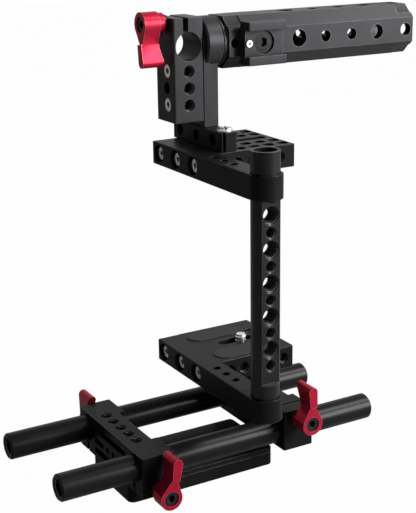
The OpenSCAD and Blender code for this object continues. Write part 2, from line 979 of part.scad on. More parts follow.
module handle_bracket() {
    low = upper_top + foot_h;
    color("#212123")
    difference() {
        union() {
            translate([post_x - bracket_w / 2, bracket_y, low])
                cube([bracket_w, bracket_t, grip_z - shoulder_drop - low]);
            translate([post_x - bracket_w / 2, bracket_y, low])
                cube([bracket_w, tongue_t, grip_z - low]);
            handle_axis(bracket_y)
                along_y(bracket_w / 2, tongue_t);
        }
        // The shoulder is hollowed to let the flange in
        handle_axis(flange_y)
            along_y(flange_r + shoulder_gap, bracket_t);
        bracket_joint_place()
            translate([0, 0, -cut])
                cylinder(r = joint_screw_r + screw_gap, h = joint_grip + seat_gap + cut);
        rod_post_screw_places()
            translate([0, -cut, 0])
                along_y(m4_r + screw_gap, post_d + post_screw_grip + seat_gap + cut);
        handle_axis(bracket_y) {
            translate([0, -cut, 0])
                along_y(bolt_r + screw_gap, tongue_t + 2 * cut);
            translate([0, -cut, 0])
                along_y(bolt_head_r + seat_gap, bolt_head_h + cut);
        }
    }
}

// Rod post

module rod_post_screw_places() {
    for (i = [0, 2])
        translate([post_x + post_row_aside, post_y,
                   post_bore_z - post_hole_drop - i * post_hole_pitch])
            children();
}

module rod_post() {
    color("#29292b")
    difference() {
        translate([post_x - post_w / 2, post_y, post_z])
            block(post_w, post_d, post_h);
        translate([post_x - post_w / 2 - cut, post_bore_y, post_bore_z])
            along_x(rod_r + run_gap, post_w + 2 * cut);
        translate([post_x - post_w / 2 - cut, post_bore_y - post_slot_shift - post_slot_w / 2,
                   post_bore_z])
            cube([post_w + 2 * cut, post_slot_w, post_top - post_bore_z + cut]);
        // Holes for the lever screw and for what fastens the post
        translate([post_x, post_y - cut, post_lever_z])
            along_y(m4_r + screw_gap, post_lever_screw_l + cut + seat_gap);
        rod_post_screw_places()
            translate([0, -cut, 0]) {
                along_y(m4_r + screw_gap, post_d + 2 * cut);
                along_y(m4_head_r + seat_gap, m4_head_h + post_screw_head_sink + cut);
            }
        for (i = [0 : post_holes - 1])
            translate([post_x, 0, post_bore_z - post_hole_drop - i * post_hole_pitch])
                for (side = [-1, 1])
                    translate([side * (post_w / 2 + cut), post_bore_y, 0])
                        rotate([0, -side * 90, 0])
                            cylinder(r = quarter_hole_r, h = post_hole_depth + cut);
        translate([post_x + post_row_aside, post_y - cut,
                   post_bore_z - post_hole_drop - post_hole_pitch])
            along_y(quarter_hole_r, post_hole_depth + cut);
    }
}

module rod_post_screws() {
    color("#b9b6ae")
    rod_post_screw_places()
        translate([0, m4_head_h + post_screw_head_sink, 0])
            rotate([90, 0, 0])
                cap_screw(m4_r, post_d - m4_head_h - post_screw_head_sink + post_screw_grip,
                          m4_head_r, m4_head_h, m4_hex_r, m4_hex_depth);
}

// Handle

module handle_axis(y) {
    translate([post_x, y, grip_z])
        children();
}

// The flange wraps round the bracket's tongue, which keeps it from turning
module handle_flange() {
    whole_t = flange_wrap + flange_t;
    tongue_w = bracket_w + 2 * run_gap;
    color("#2c2c2e")
    handle_axis(flange_y - flange_wrap)
        difference() {
            rotate([-90, 0, 0])
                rotate_extrude()
                    polygon([
                        [bolt_r + screw_gap, 0], [flange_r - flange_edge, 0],
                        [flange_r, flange_edge], [flange_r, whole_t - flange_edge],
                        [flange_r - flange_edge, whole_t], [bolt_r + screw_gap, whole_t]
                    ]);
            translate([0, -cut, 0])
                along_y(tongue_w / 2, flange_wrap + cut);
            translate([-tongue_w / 2, -cut, -flange_r - cut])
                cube([tongue_w, flange_wrap + cut, flange_r + cut]);
        }
}

module handle_spacer_ring() {
    color("#18181a")
    handle_axis(spacer_y)
        difference() {
            along_y(spacer_r, spacer_t);
            translate([0, -cut, 0])
                along_y(bolt_r + screw_gap, spacer_t + 2 * cut);
        }
}

module handle_bolt() {
    color("#2a2a2c")
    handle_axis(bracket_y + bolt_head_h)
        rotate([90, 0, 0])
            cap_screw(bolt_r, bolt_l, bolt_head_r, bolt_head_h - seat_gap, bolt_hex_r, m4_hex_depth);
}

// The same hole in the main flats that are named by their turns, at one place along
// the grip
module wall_holes(y, r, turns = all_turns) {
    for (turn = turns)
        handle_axis(grip_y + y)
            rotate([0, turn, 0])
                along_x(r, grip_w);
}

// A flat land milled in the upper or lower part of each bevel, over the grip's ends
module end_lands(y) {
    half_w = grip_w / 2;
    half_h = grip_h / 2;
    for (side = [-1, 1])
        for (turn = [0, 90])
            handle_axis(y)
                mirror_side(side)
                    translate([half_w - grip_bevel, 0, turn == 0 ? half_h : -half_h])
                        rotate([0, 45 + turn, 0])
                            translate([-end_land_w, 0, -end_land_depth])
                                cube([2 * end_land_w, end_land_l, end_land_depth + grip_bevel]);
}

module handle_grip() {
    half_w = grip_w / 2;
    half_h = grip_h / 2;
    color("#303033")
    difference() {
        handle_axis(grip_y)
            rotate([-90, 0, 0])
                linear_extrude(grip_l)
                    polygon([
                        [grip_bevel - half_w, -half_h], [half_w - grip_bevel, -half_h],
                        [half_w, grip_bevel - half_h], [half_w, half_h - grip_bevel],
                        [half_w - grip_bevel, half_h], [grip_bevel - half_w, half_h],
                        [-half_w, half_h - grip_bevel], [-half_w, grip_bevel - half_h]
                    ]);
        handle_axis(grip_y + grip_front_wall)
            along_y(grip_bore_r, grip_l);
        handle_axis(grip_y - cut)
            along_y(bolt_r + screw_gap, grip_front_wall + 2 * cut);
        for (i = [0 : len(grip_hole_r) - 1])
            wall_holes(grip_hole_first + i * grip_hole_pitch, grip_hole_r[i]);
        // The hole near the end has none opposite it on the far side
        wall_holes(grip_l - grip_end_hole, grip_end_hole_r, near_turns);
        for (side = [0, 180])
            handle_axis(grip_y + neck_hole_y)
                rotate([0, side, 0])
                    translate([half_w - neck_hole_depth, 0, 0])
                        along_x(neck_hole_r, neck_hole_depth + cut);
        end_lands(grip_y - cut);
        end_lands(grip_y + grip_l - end_land_l + cut);
        shoe_bolt_place()
            along_x(shoe_bolt_r + screw_gap, half_w);
        shoe_stop_place()
            along_x(stop_screw_r + screw_gap, half_w);
    }
}

// Accessory shoe: the places are at the grip's wall, pointing outward

module shoe_bolt_place() {
    handle_axis(shoe_y + shoe_l / 2)
        translate([grip_w / 2 - shoe_bolt_grip - seat_gap, 0, 0])
            children();
}

module shoe_stop_place() {
    handle_axis(shoe_y + stop_inset)
        translate([grip_w / 2 - stop_grip - seat_gap, 0, 0])
            children();
}

module shoe_block() {
    color("#2b2b2d")
    difference() {
        handle_axis(shoe_y)
            translate([grip_w / 2, 0, -shoe_h / 2])
                block(shoe_out, shoe_l, shoe_h);
        handle_axis(shoe_y - cut)
            translate([grip_w / 2 + shoe_base, 0, -shoe_mouth / 2])
                cube([shoe_out, shoe_l + 2 * cut, shoe_mouth]);
        handle_axis(shoe_y - cut)
            translate([grip_w / 2 + shoe_base, 0, -shoe_channel / 2])
                cube([shoe_channel_t, shoe_l + 2 * cut, shoe_channel]);
        shoe_bolt_place() {
            along_x(shoe_bolt_r + screw_gap, shoe_out + grip_w / 2);
            translate([shoe_bolt_grip + seat_gap + shoe_base - shoe_bolt_sink
                       - shoe_bolt_head_h, 0, 0])
                along_x(shoe_bolt_head_r + seat_gap, shoe_bolt_head_h + shoe_bolt_sink + cut);
        }
        shoe_stop_place()
            along_x(stop_screw_r + screw_gap, shoe_out + grip_w / 2);
    }
}

module shoe_bolt() {
    color("#303033")
    shoe_bolt_place()
        translate([seat_gap + shoe_bolt_grip + shoe_base - shoe_bolt_sink - shoe_bolt_head_h,
                   0, 0])
            rotate([0, 90, 0])
                cap_screw(shoe_bolt_r,
                          shoe_bolt_grip + shoe_base - shoe_bolt_sink - shoe_bolt_head_h,
                          shoe_bolt_head_r, shoe_bolt_head_h, shoe_hex_r, m4_hex_depth);
}

module shoe_stop_screw() {
    color("#d5d3ce")
    shoe_stop_place()
        translate([seat_gap + stop_grip + shoe_base, 0, 0])
            rotate([0, 90, 0])
                cap_screw(stop_screw_r, stop_grip + shoe_base, stop_head_r, stop_head_h,
                          m3_hex_r, stop_hex_depth);
}

base_slab();
slab_screws();
front_clamp();
rod_at(1);  // near_rod
rod_at(-1, far_rod_ahead);  // far_rod
on_front_clamp(1) lever_knob();  // front_near_lever
on_front_clamp(1) clamp_lever_screw();  // front_near_lever_screw
on_front_clamp(1) lever_insert();  // front_near_lever_insert
on_front_clamp(-1) lever_knob();  // front_far_lever
on_front_clamp(-1) clamp_lever_screw();  // front_far_lever_screw
on_front_clamp(-1) lever_insert();  // front_far_lever_insert
rear_clamp();
on_rear_clamp(1) lever_knob();  // rear_near_lever
on_rear_clamp(1) clamp_lever_screw();  // rear_near_lever_screw
on_rear_clamp(1) lever_insert();  // rear_near_lever_insert
on_rear_clamp(-1) lever_knob();  // rear_far_lever
on_rear_clamp(-1) clamp_lever_screw();  // rear_far_lever_screw
on_rear_clamp(-1) lever_insert();  // rear_far_lever_insert
riser_block();
riser_screws();
camera_plate();
camera_pads();
camera_screw();
camera_screw_washer();
arm(arm_z);  // lower_arm
arm_screws(arm_z);  // lower_arm_screws
upright_rod();
ring_screw(arm_z);  // lower_ring_screw
ring_screw(upper_z);  // upper_ring_screw
arm(upper_z);  // upper_arm
arm_screws(upper_z);  // upper_arm_screws
top_plate();
bracket_foot();
bracket_foot_screws();
handle_bracket();
bracket_joint_screw();
rod_post();
rod_post_screws();
on_post() lever_knob();  // post_lever
on_post() lever_screw(post_lever_screw_l);  // post_lever_screw
on_post() lever_insert();  // post_lever_insert
handle_flange();
handle_spacer_ring();
handle_bolt();
handle_grip();
shoe_block();
shoe_bolt();
shoe_stop_screw();
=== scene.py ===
# %% [markdown]
# # A camera cage with red clamp levers
# This notebook dresses a half cage for a camera: two 15 mm rods, two rod clamps,
# a camera plate, an upright rod and a top handle. The CAD model is loaded as a fixed
# frame in metres. Its exact shapes stay; what Blender adds is what CAD leaves out:
# broken edges, screw threads, domed heads, and metal that looks anodised or turned.

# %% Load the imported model
import json
import math
import bpy
import bmesh
from mathutils import Matrix, Vector

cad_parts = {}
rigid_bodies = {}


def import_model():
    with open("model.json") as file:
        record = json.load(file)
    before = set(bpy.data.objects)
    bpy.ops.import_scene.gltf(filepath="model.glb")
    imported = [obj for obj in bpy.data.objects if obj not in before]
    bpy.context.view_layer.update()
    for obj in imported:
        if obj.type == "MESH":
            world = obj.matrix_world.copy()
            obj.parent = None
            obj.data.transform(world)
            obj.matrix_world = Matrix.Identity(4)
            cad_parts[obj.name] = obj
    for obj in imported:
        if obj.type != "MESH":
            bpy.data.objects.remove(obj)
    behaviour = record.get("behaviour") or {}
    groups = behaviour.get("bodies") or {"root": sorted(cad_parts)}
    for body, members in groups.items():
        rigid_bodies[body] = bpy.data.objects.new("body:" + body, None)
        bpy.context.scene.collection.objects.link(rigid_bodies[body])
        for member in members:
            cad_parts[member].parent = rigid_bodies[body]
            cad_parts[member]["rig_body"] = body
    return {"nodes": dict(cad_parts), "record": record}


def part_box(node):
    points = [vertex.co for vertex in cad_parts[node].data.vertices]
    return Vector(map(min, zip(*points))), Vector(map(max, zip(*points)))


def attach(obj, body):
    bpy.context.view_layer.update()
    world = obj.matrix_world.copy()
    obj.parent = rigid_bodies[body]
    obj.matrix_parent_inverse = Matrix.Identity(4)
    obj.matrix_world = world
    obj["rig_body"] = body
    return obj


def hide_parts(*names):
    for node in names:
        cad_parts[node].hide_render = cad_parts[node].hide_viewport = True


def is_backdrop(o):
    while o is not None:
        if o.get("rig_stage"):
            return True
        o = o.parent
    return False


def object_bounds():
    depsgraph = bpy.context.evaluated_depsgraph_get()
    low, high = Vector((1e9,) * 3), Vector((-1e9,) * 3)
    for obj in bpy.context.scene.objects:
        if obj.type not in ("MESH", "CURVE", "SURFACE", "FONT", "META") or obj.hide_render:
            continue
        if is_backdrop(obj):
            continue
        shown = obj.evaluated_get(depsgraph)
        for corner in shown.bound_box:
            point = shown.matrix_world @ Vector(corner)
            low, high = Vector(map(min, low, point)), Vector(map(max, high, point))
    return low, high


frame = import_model()
NODES = frame["nodes"]
RECORD = frame["record"]
MM = 0.001
cad_low, cad_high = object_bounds()
print("CAD box in mm:", [round(c / MM, 1) for c in cad_high - cad_low])

# %% [markdown]
# The camera comes first, because it tells how large each detail will appear. Its place
# and its turn come from matching straight edges of the object with the photograph. The
# lens is long for such a small object, so parallel edges hardly draw together.

# %% The camera
PHOTO_WIDTH = 416
FOCAL_PIXELS = 1181.4
SENSOR = 36.0
AZIMUTH, ELEVATION, ROLL = 60.085, 16.933, -0.798
EYE = (550.4, -298.27, 318.53)
camera_data = bpy.data.cameras.new("photo_camera")
camera_data.sensor_fit = "HORIZONTAL"
camera_data.sensor_width = SENSOR
camera_data.lens = FOCAL_PIXELS / PHOTO_WIDTH * SENSOR
camera_data.clip_start = 0.05
camera = bpy.data.objects.new("photo_camera", camera_data)
bpy.context.scene.collection.objects.link(camera)
azimuth, elevation, roll = (math.radians(a) for a in (AZIMUTH, ELEVATION, ROLL))
back = Vector((math.sin(azimuth) * math.cos(elevation),
               -math.cos(azimuth) * math.cos(elevation), math.sin(elevation)))
level = Vector((math.cos(azimuth), math.sin(azimuth), 0))
upward = back.cross(level)
right = level * math.cos(roll) + upward * math.sin(roll)
up = upward * math.cos(roll) - level * math.sin(roll)
camera.matrix_world = Matrix((right, up, back)).transposed().to_4x4()
camera.location = Vector(EYE) * MM
bpy.context.scene.camera = camera
print("lens in mm:", round(camera_data.lens, 1))

# %% [markdown]
# The light is that of a product table: a broad soft box on the side of the upright rod,
# which gives the near faces their sheen, a smaller one above and behind, which draws the
# bright facets of the grip and the rims of the holes, and a weak one on the far side. The
# world is a dim grey that fills the shadows. To the camera it is plain white, and bare
# metal sees it as a pale room, or the plated screws would look black.

# %% The world
ROOM_IN_METAL = 0.4
SHADOW_FILL = 0.08
world = bpy.data.worlds.new("studio")
bpy.context.scene.world = world
world.use_nodes = True
tree = world.node_tree
tree.nodes.clear()
fill = tree.nodes.new("ShaderNodeBackground")
fill.inputs["Color"].default_value = (1, 1, 1, 1)
white = tree.nodes.new("ShaderNodeBackground")
white.inputs["Color"].default_value = (1, 1, 1, 1)
white.inputs["Strength"].default_value = 1.0
light_path = tree.nodes.new("ShaderNodeLightPath")
mix = tree.nodes.new("ShaderNodeMixShader")
output = tree.nodes.new("ShaderNodeOutputWorld")
tree.links.new(light_path.outputs["Is Camera Ray"], mix.inputs["Fac"])
tree.links.new(fill.outputs[0], mix.inputs[1])
tree.links.new(white.outputs[0], mix.inputs[2])
tree.links.new(mix.outputs[0], output.inputs["Surface"])
seen_in_metal = tree.nodes.new("ShaderNodeMath")
seen_in_metal.operation = "MULTIPLY_ADD"
seen_in_metal.inputs[1].default_value = ROOM_IN_METAL
seen_in_metal.inputs[2].default_value = SHADOW_FILL
tree.links.new(light_path.outputs["Is Glossy Ray"], seen_in_metal.inputs[0])
tree.links.new(seen_in_metal.outputs[0], fill.inputs["Strength"])
print("world:", world.name, "fills shadows with", SHADOW_FILL)

# %% The lamps
MIDDLE = (cad_low + cad_high) / 2


def soft_box(name, place, size, power):
    """A square area lamp that looks at the middle of the object."""
    data = bpy.data.lights.new(name, "AREA")
    data.size = size
    data.energy = power
    lamp = bpy.data.objects.new(name, data)
    bpy.context.scene.collection.objects.link(lamp)
    lamp.location = MIDDLE + Vector(place)
    lamp.rotation_euler = (MIDDLE - lamp.location).to_track_quat("-Z", "Y").to_euler()
    return lamp


for lamp_name, place, size, power in (
        ("near_side_box", (0.82, 0.72, 0.36), 0.55, 20.0),
        ("top_box", (0.3, 0.7, 0.85), 0.4, 8.0),
        ("far_side_box", (-1.0, 0.35, 0.5), 0.8, 0.6)):
    soft_box(lamp_name, place, size, power)
    print(lamp_name, "with", power, "W")

# %% [markdown]
# The floor is a plain pale sheet just under the slab. To the camera it shines nearly all
# by itself, so that it reads as the white of the photograph, and the rest still takes a
# shadow. Metal sees a little of that shine, as it would on a white table.

# %% The floor
FLOOR_SIZE = 6.0
FLOOR_DROP = 0.2 * MM
FLOOR_GREY = 0.3
GLOW_TO_CAMERA = 0.985
GLOW_IN_METAL = 0.15
bpy.ops.object.select_all(action="DESELECT")
bpy.ops.mesh.primitive_plane_add(size=FLOOR_SIZE,
                                 location=(0, 0, cad_low.z - FLOOR_DROP))
floor = bpy.context.object
floor.name = "floor"
floor_paint = bpy.data.materials.new("floor_paint")
floor_paint.use_nodes = True
tree = floor_paint.node_tree
tree.nodes.clear()
diffuse = tree.nodes.new("ShaderNodeBsdfDiffuse")
diffuse.inputs["Color"].default_value = (FLOOR_GREY, FLOOR_GREY, FLOOR_GREY, 1)
glow = tree.nodes.new("ShaderNodeEmission")
glow.inputs["Strength"].default_value = 1.0
light_path = tree.nodes.new("ShaderNodeLightPath")
seen_in_metal = tree.nodes.new("ShaderNodeMath")
seen_in_metal.operation = "MULTIPLY"
seen_in_metal.inputs[1].default_value = GLOW_IN_METAL
share = tree.nodes.new("ShaderNodeMath")
share.operation = "MULTIPLY_ADD"
share.inputs[1].default_value = GLOW_TO_CAMERA
mix = tree.nodes.new("ShaderNodeMixShader")
output = tree.nodes.new("ShaderNodeOutputMaterial")
tree.links.new(light_path.outputs["Is Glossy Ray"], seen_in_metal.inputs[0])
tree.links.new(seen_in_metal.outputs[0], share.inputs[2])
tree.links.new(light_path.outputs["Is Camera Ray"], share.inputs[0])
tree.links.new(share.outputs[0], mix.inputs["Fac"])
tree.links.new(diffuse.outputs[0], mix.inputs[1])
tree.links.new(glow.outputs[0], mix.inputs[2])
tree.links.new(mix.outputs[0], output.inputs["Surface"])
floor.data.materials.append(floor_paint)
floor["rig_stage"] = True
print("floor at mm:", round(floor.location.z / MM, 2))

# %% [markdown]
# ## Finishes
# Several effects are used by more than one material, so each is a shader node group. A
# group is a small tree of its own with named sockets. Two helpers build it: one makes the
# group with its sockets, the other sets a Math node.

# %% Helpers for node groups
def group_with(name, inputs, outputs):
    """A new shader node group with its sockets, its input node and its output node."""
    group = bpy.data.node_groups.new(name, "ShaderNodeTree")
    for label, kind, value in inputs:
        socket = group.interface.new_socket(label, in_out="INPUT", socket_type=kind)
        socket.default_value = value
    for label, kind in outputs:
        group.interface.new_socket(label, in_out="OUTPUT", socket_type=kind)
    return group, group.nodes.new("NodeGroupInput"), group.nodes.new("NodeGroupOutput")


def maths(tree, operation, first, second):
    """A Math node; each operand is a number or a socket. Returns its result."""
    node = tree.nodes.new("ShaderNodeMath")
    node.operation = operation
    for index, operand in enumerate((first, second)):
        if isinstance(operand, (int, float)):
            node.inputs[index].default_value = operand
        else:
            tree.links.new(operand, node.inputs[index])
    return node.outputs[0]


print("helpers:", group_with.__name__, maths.__name__)

# %% [markdown]
# The first group finds edges. A Bevel node rounds the normal, and where that differs from
# the plain normal there is an edge. Its colour is made lighter there: partly wear from
# handling, partly a painted highlight like the glint of a chamfer. A noise keeps it patchy.

# %% Node group: edge wear and painted highlight
EDGE_REACH = 0.35 * MM
EDGE_GAIN = 14.0
rubbed, edge_wear_highlight_in, edge_wear_highlight_out = group_with(
    "rubbed_edges",
    [("Patchiness Scale", "NodeSocketFloat", 260.0), ("Amount", "NodeSocketFloat", 0.6)],
    [("Mask", "NodeSocketFloat")])
bevel = rubbed.nodes.new("ShaderNodeBevel")
bevel.samples = 6
bevel.inputs["Radius"].default_value = EDGE_REACH
plain = rubbed.nodes.new("ShaderNodeNewGeometry")
dot = rubbed.nodes.new("ShaderNodeVectorMath")
dot.operation = "DOT_PRODUCT"
rubbed.links.new(bevel.outputs["Normal"], dot.inputs[0])
rubbed.links.new(plain.outputs["Normal"], dot.inputs[1])
place = rubbed.nodes.new("ShaderNodeTexCoord")
patches = rubbed.nodes.new("ShaderNodeTexNoise")
patches.inputs["Detail"].default_value = 3.0
rubbed.links.new(place.outputs["Object"], patches.inputs["Vector"])
rubbed.links.new(edge_wear_highlight_in.outputs["Patchiness Scale"], patches.inputs["Scale"])
turned = maths(rubbed, "SUBTRACT", 1.0, dot.outputs["Value"])
sharp = maths(rubbed, "MULTIPLY", turned, EDGE_GAIN)
uneven = maths(rubbed, "MULTIPLY", sharp, patches.outputs["Fac"])
amount = maths(rubbed, "MULTIPLY", uneven, edge_wear_highlight_in.outputs["Amount"])
mask = rubbed.nodes.new("ShaderNodeClamp")
rubbed.links.new(amount, mask.inputs["Value"])
rubbed.links.new(mask.outputs[0], edge_wear_highlight_out.inputs["Mask"])
print("group:", rubbed.name, "with", len(rubbed.nodes), "nodes")

# %% [markdown]
# The second is the fine even grain that blasting leaves before anodising. A larger, softer
# noise beside it lets colour and roughness drift a little from place to place.

# %% Node group: blasted grain
blasted, blasted_in, blasted_out = group_with(
    "blasted_grain",
    [("Scale", "NodeSocketFloat", 2600.0), ("Roughness", "NodeSocketFloat", 0.42),
     ("Spread", "NodeSocketFloat", 0.12)],
    [("Height", "NodeSocketFloat"), ("Roughness", "NodeSocketFloat"),
     ("Cloud", "NodeSocketFloat")])
place = blasted.nodes.new("ShaderNodeTexCoord")
grain = blasted.nodes.new("ShaderNodeTexNoise")
grain.inputs["Detail"].default_value = 2.0
cloud = blasted.nodes.new("ShaderNodeTexNoise")
cloud.inputs["Scale"].default_value = 60.0
cloud.inputs["Detail"].default_value = 4.0
blasted.links.new(place.outputs["Object"], grain.inputs["Vector"])
blasted.links.new(blasted_in.outputs["Scale"], grain.inputs["Scale"])
blasted.links.new(place.outputs["Object"], cloud.inputs["Vector"])
off_middle = maths(blasted, "SUBTRACT", cloud.outputs["Fac"], 0.5)
swing = maths(blasted, "MULTIPLY", off_middle, blasted_in.outputs["Spread"])
rough = maths(blasted, "ADD", swing, blasted_in.outputs["Roughness"])
blasted.links.new(grain.outputs["Fac"], blasted_out.inputs["Height"])
blasted.links.new(rough, blasted_out.inputs["Roughness"])
blasted.links.new(cloud.outputs["Fac"], blasted_out.inputs["Cloud"])
print("group:", blasted.name, "with", len(blasted.nodes), "nodes")

# %% [markdown]
# Holes, slots and sockets get painted shade: their colour is made darker than that of the
# faces round them. Ambient Occlusion measures how much of the view outwards is closed off
# at a point. The third group turns that into a mask for the painted shade, wherever the
# camera is.

# %% Node group: painted shade in recesses
depths, painted_shade_in, painted_shade_out = group_with(
    "oily_depths",
    [("Reach", "NodeSocketFloat", 4.0 * MM), ("Amount", "NodeSocketFloat", 1.0)],
    [("Mask", "NodeSocketFloat")])
closed = depths.nodes.new("ShaderNodeAmbientOcclusion")
closed.samples = 8
closed.only_local = True
depths.links.new(painted_shade_in.outputs["Reach"], closed.inputs["Distance"])
# The more closed off a point is, the more painted shade it gets.
hidden = maths(depths, "SUBTRACT", 1.0, closed.outputs["AO"])
steep = maths(depths, "MULTIPLY", hidden, painted_shade_in.outputs["Amount"])
keep = depths.nodes.new("ShaderNodeClamp")
depths.links.new(steep, keep.inputs["Value"])
depths.links.new(keep.outputs[0], painted_shade_out.inputs["Mask"])
print("group:", depths.name, "with", len(depths.nodes), "nodes")

# %% [markdown]
# The rods are turned on a lathe, which leaves fine uneven rings round them. A noise that
# changes only along the rod's own axis gives them; a Bump node makes them relief.

# %% Node group: lathe rings
lathe, lathe_in, lathe_out = group_with(
    "lathe_rings",
    [("Axis", "NodeSocketVector", (0.0, 0.0, 1.0)), ("Scale", "NodeSocketFloat", 700.0)],
    [("Height", "NodeSocketFloat")])
place = lathe.nodes.new("ShaderNodeTexCoord")
along = lathe.nodes.new("ShaderNodeVectorMath")
along.operation = "DOT_PRODUCT"
lathe.links.new(place.outputs["Object"], along.inputs[0])
lathe.links.new(lathe_in.outputs["Axis"], along.inputs[1])
spread = maths(lathe, "MULTIPLY", along.outputs["Value"], lathe_in.outputs["Scale"])
rings = lathe.nodes.new("ShaderNodeTexNoise")
rings.noise_dimensions = "1D"
rings.inputs["Scale"].default_value = 1.0
rings.inputs["Detail"].default_value = 2.0
lathe.links.new(spread, rings.inputs["W"])
lathe.links.new(rings.outputs["Fac"], lathe_out.inputs["Height"])
print("group:", lathe.name, "with", len(lathe.nodes), "nodes")

# %% [markdown]
# Anodised aluminium is metal under a dyed clear layer. Its colour is even and its gloss is
# satin. Along the edges the colour is painted lighter, partly for wear that thins the dye
# and partly as a painted highlight, and holes and recesses get a painted shade. One
# function makes the black, the dark grey, the red and the turned black of the rods from the
# groups above.

# %% Anodised finishes
def colour_mix(tree, factor, low, high):
    """Mixes two colours by a socket; each is a colour or a socket. Returns the result."""
    node = tree.nodes.new("ShaderNodeMix")
    node.data_type = "RGBA"
    tree.links.new(factor, node.inputs["Factor"])
    for name, value in (("A", low), ("B", high)):
        socket = next(s for s in node.inputs if s.name == name and s.type == "RGBA")
        if isinstance(value, (tuple, list)):
            socket.default_value = (*value, 1)
        else:
            tree.links.new(value, socket)
    return next(s for s in node.outputs if s.type == "RGBA")


def bare_material(name):
    """A material with its Principled shader; returns the material, its tree, the shader."""
    material = bpy.data.materials.new(name)
    material.use_nodes = True
    tree = material.node_tree
    shader = next(n for n in tree.nodes if n.type == "BSDF_PRINCIPLED")
    return material, tree, shader


PAINTED_SHADE_DARK = 0.25
COAT_ROUGHNESS = 0.3
LATHE_DEPTH = 0.05 * MM


def anodised(name, dye, dye_cloudy, worn_and_highlight, metal, roughness, edge_wear_highlight_amount, coat, grain_depth,
             gloss=0.06, turned_along=None):
    """Dyed, blasted aluminium; turned_along adds lathe rings along that axis."""
    material, tree, shader = bare_material(name)
    grain = tree.nodes.new("ShaderNodeGroup")
    grain.node_tree = blasted
    grain.inputs["Roughness"].default_value = roughness
    edges = tree.nodes.new("ShaderNodeGroup")
    edges.node_tree = rubbed
    edges.inputs["Amount"].default_value = edge_wear_highlight_amount
    tinted = colour_mix(tree, grain.outputs["Cloud"], dye, dye_cloudy)
    # Edges are painted lighter: partly wear, partly a painted highlight.
    colour = colour_mix(tree, edges.outputs["Mask"], tinted, worn_and_highlight)
    # Painted shade: holes and recesses are darkened in the colour itself.
    shade = tree.nodes.new("ShaderNodeGroup")
    shade.node_tree = depths
    colour = colour_mix(tree, shade.outputs["Mask"], colour,
                        tuple(c * PAINTED_SHADE_DARK for c in dye))
    tree.links.new(colour, shader.inputs["Base Color"])
    tree.links.new(grain.outputs["Roughness"], shader.inputs["Roughness"])
    bump = tree.nodes.new("ShaderNodeBump")
    bump.inputs["Strength"].default_value = 0.25
    bump.inputs["Distance"].default_value = grain_depth
    tree.links.new(grain.outputs["Height"], bump.inputs["Height"])
    if turned_along:
        turning = tree.nodes.new("ShaderNodeGroup")
        turning.node_tree = lathe
        turning.inputs["Axis"].default_value = turned_along
        ring_bump = tree.nodes.new("ShaderNodeBump")
        ring_bump.inputs["Strength"].default_value = 0.3
        ring_bump.inputs["Distance"].default_value = LATHE_DEPTH
        tree.links.new(turning.outputs["Height"], ring_bump.inputs["Height"])
        tree.links.new(ring_bump.outputs["Normal"], bump.inputs["Normal"])
    tree.links.new(bump.outputs["Normal"], shader.inputs["Normal"])
    shader.inputs["Metallic"].default_value = metal
    shader.inputs["Specular IOR Level"].default_value = gloss
    shader.inputs["Coat Weight"].default_value = coat
    shader.inputs["Coat Roughness"].default_value = COAT_ROUGHNESS
    return material


GRAIN_DEPTH = 0.03 * MM
FINISH = {}
# The third colour in each is for the edges: wear plus a painted highlight.
FINISH["black_anodised"] = anodised(
    "black_anodised", (0.0075, 0.0075, 0.0082), (0.0125, 0.0125, 0.0135), (0.3, 0.3, 0.31),
    0.25, 0.38, 0.6, 0.0, GRAIN_DEPTH)
FINISH["grey_anodised"] = anodised(
    "grey_anodised", (0.032, 0.032, 0.034), (0.045, 0.045, 0.048), (0.32, 0.32, 0.33),
    0.3, 0.38, 0.6, 0.0, GRAIN_DEPTH)
FINISH["red_anodised"] = anodised(
    "red_anodised", (0.42, 0.008, 0.03), (0.52, 0.014, 0.042), (0.85, 0.25, 0.3),
    0.5, 0.3, 0.6, 0.15, GRAIN_DEPTH * 0.5)

TURNED_BLACK = {}
for label, axis, sheen in (("upright", (0, 0, 1), 0.3), ("level", (0, 1, 0), 0.12)):
    TURNED_BLACK[label] = anodised(
        f"turned_black_{label}", (0.009, 0.009, 0.0098), (0.014, 0.014, 0.015),
        (0.3, 0.3, 0.31), 0.25, 0.3, 0.6, 0.0, GRAIN_DEPTH * 0.5, sheen, axis)
print("anodised:", sorted(FINISH), "turned:", sorted(TURNED_BLACK))

# %% [markdown]
# The screws are steel. Bright ones are plated and clean, dull ones are plain, and black
# ones have an oxide finish. The blasted grain serves here too, coarser and with more drift,
# so that the shine isn't even; edges carry wear and a painted highlight, and sockets and
# slots get painted shade.

# %% Steel
STEEL_SHADE_REACH = 1.6 * MM


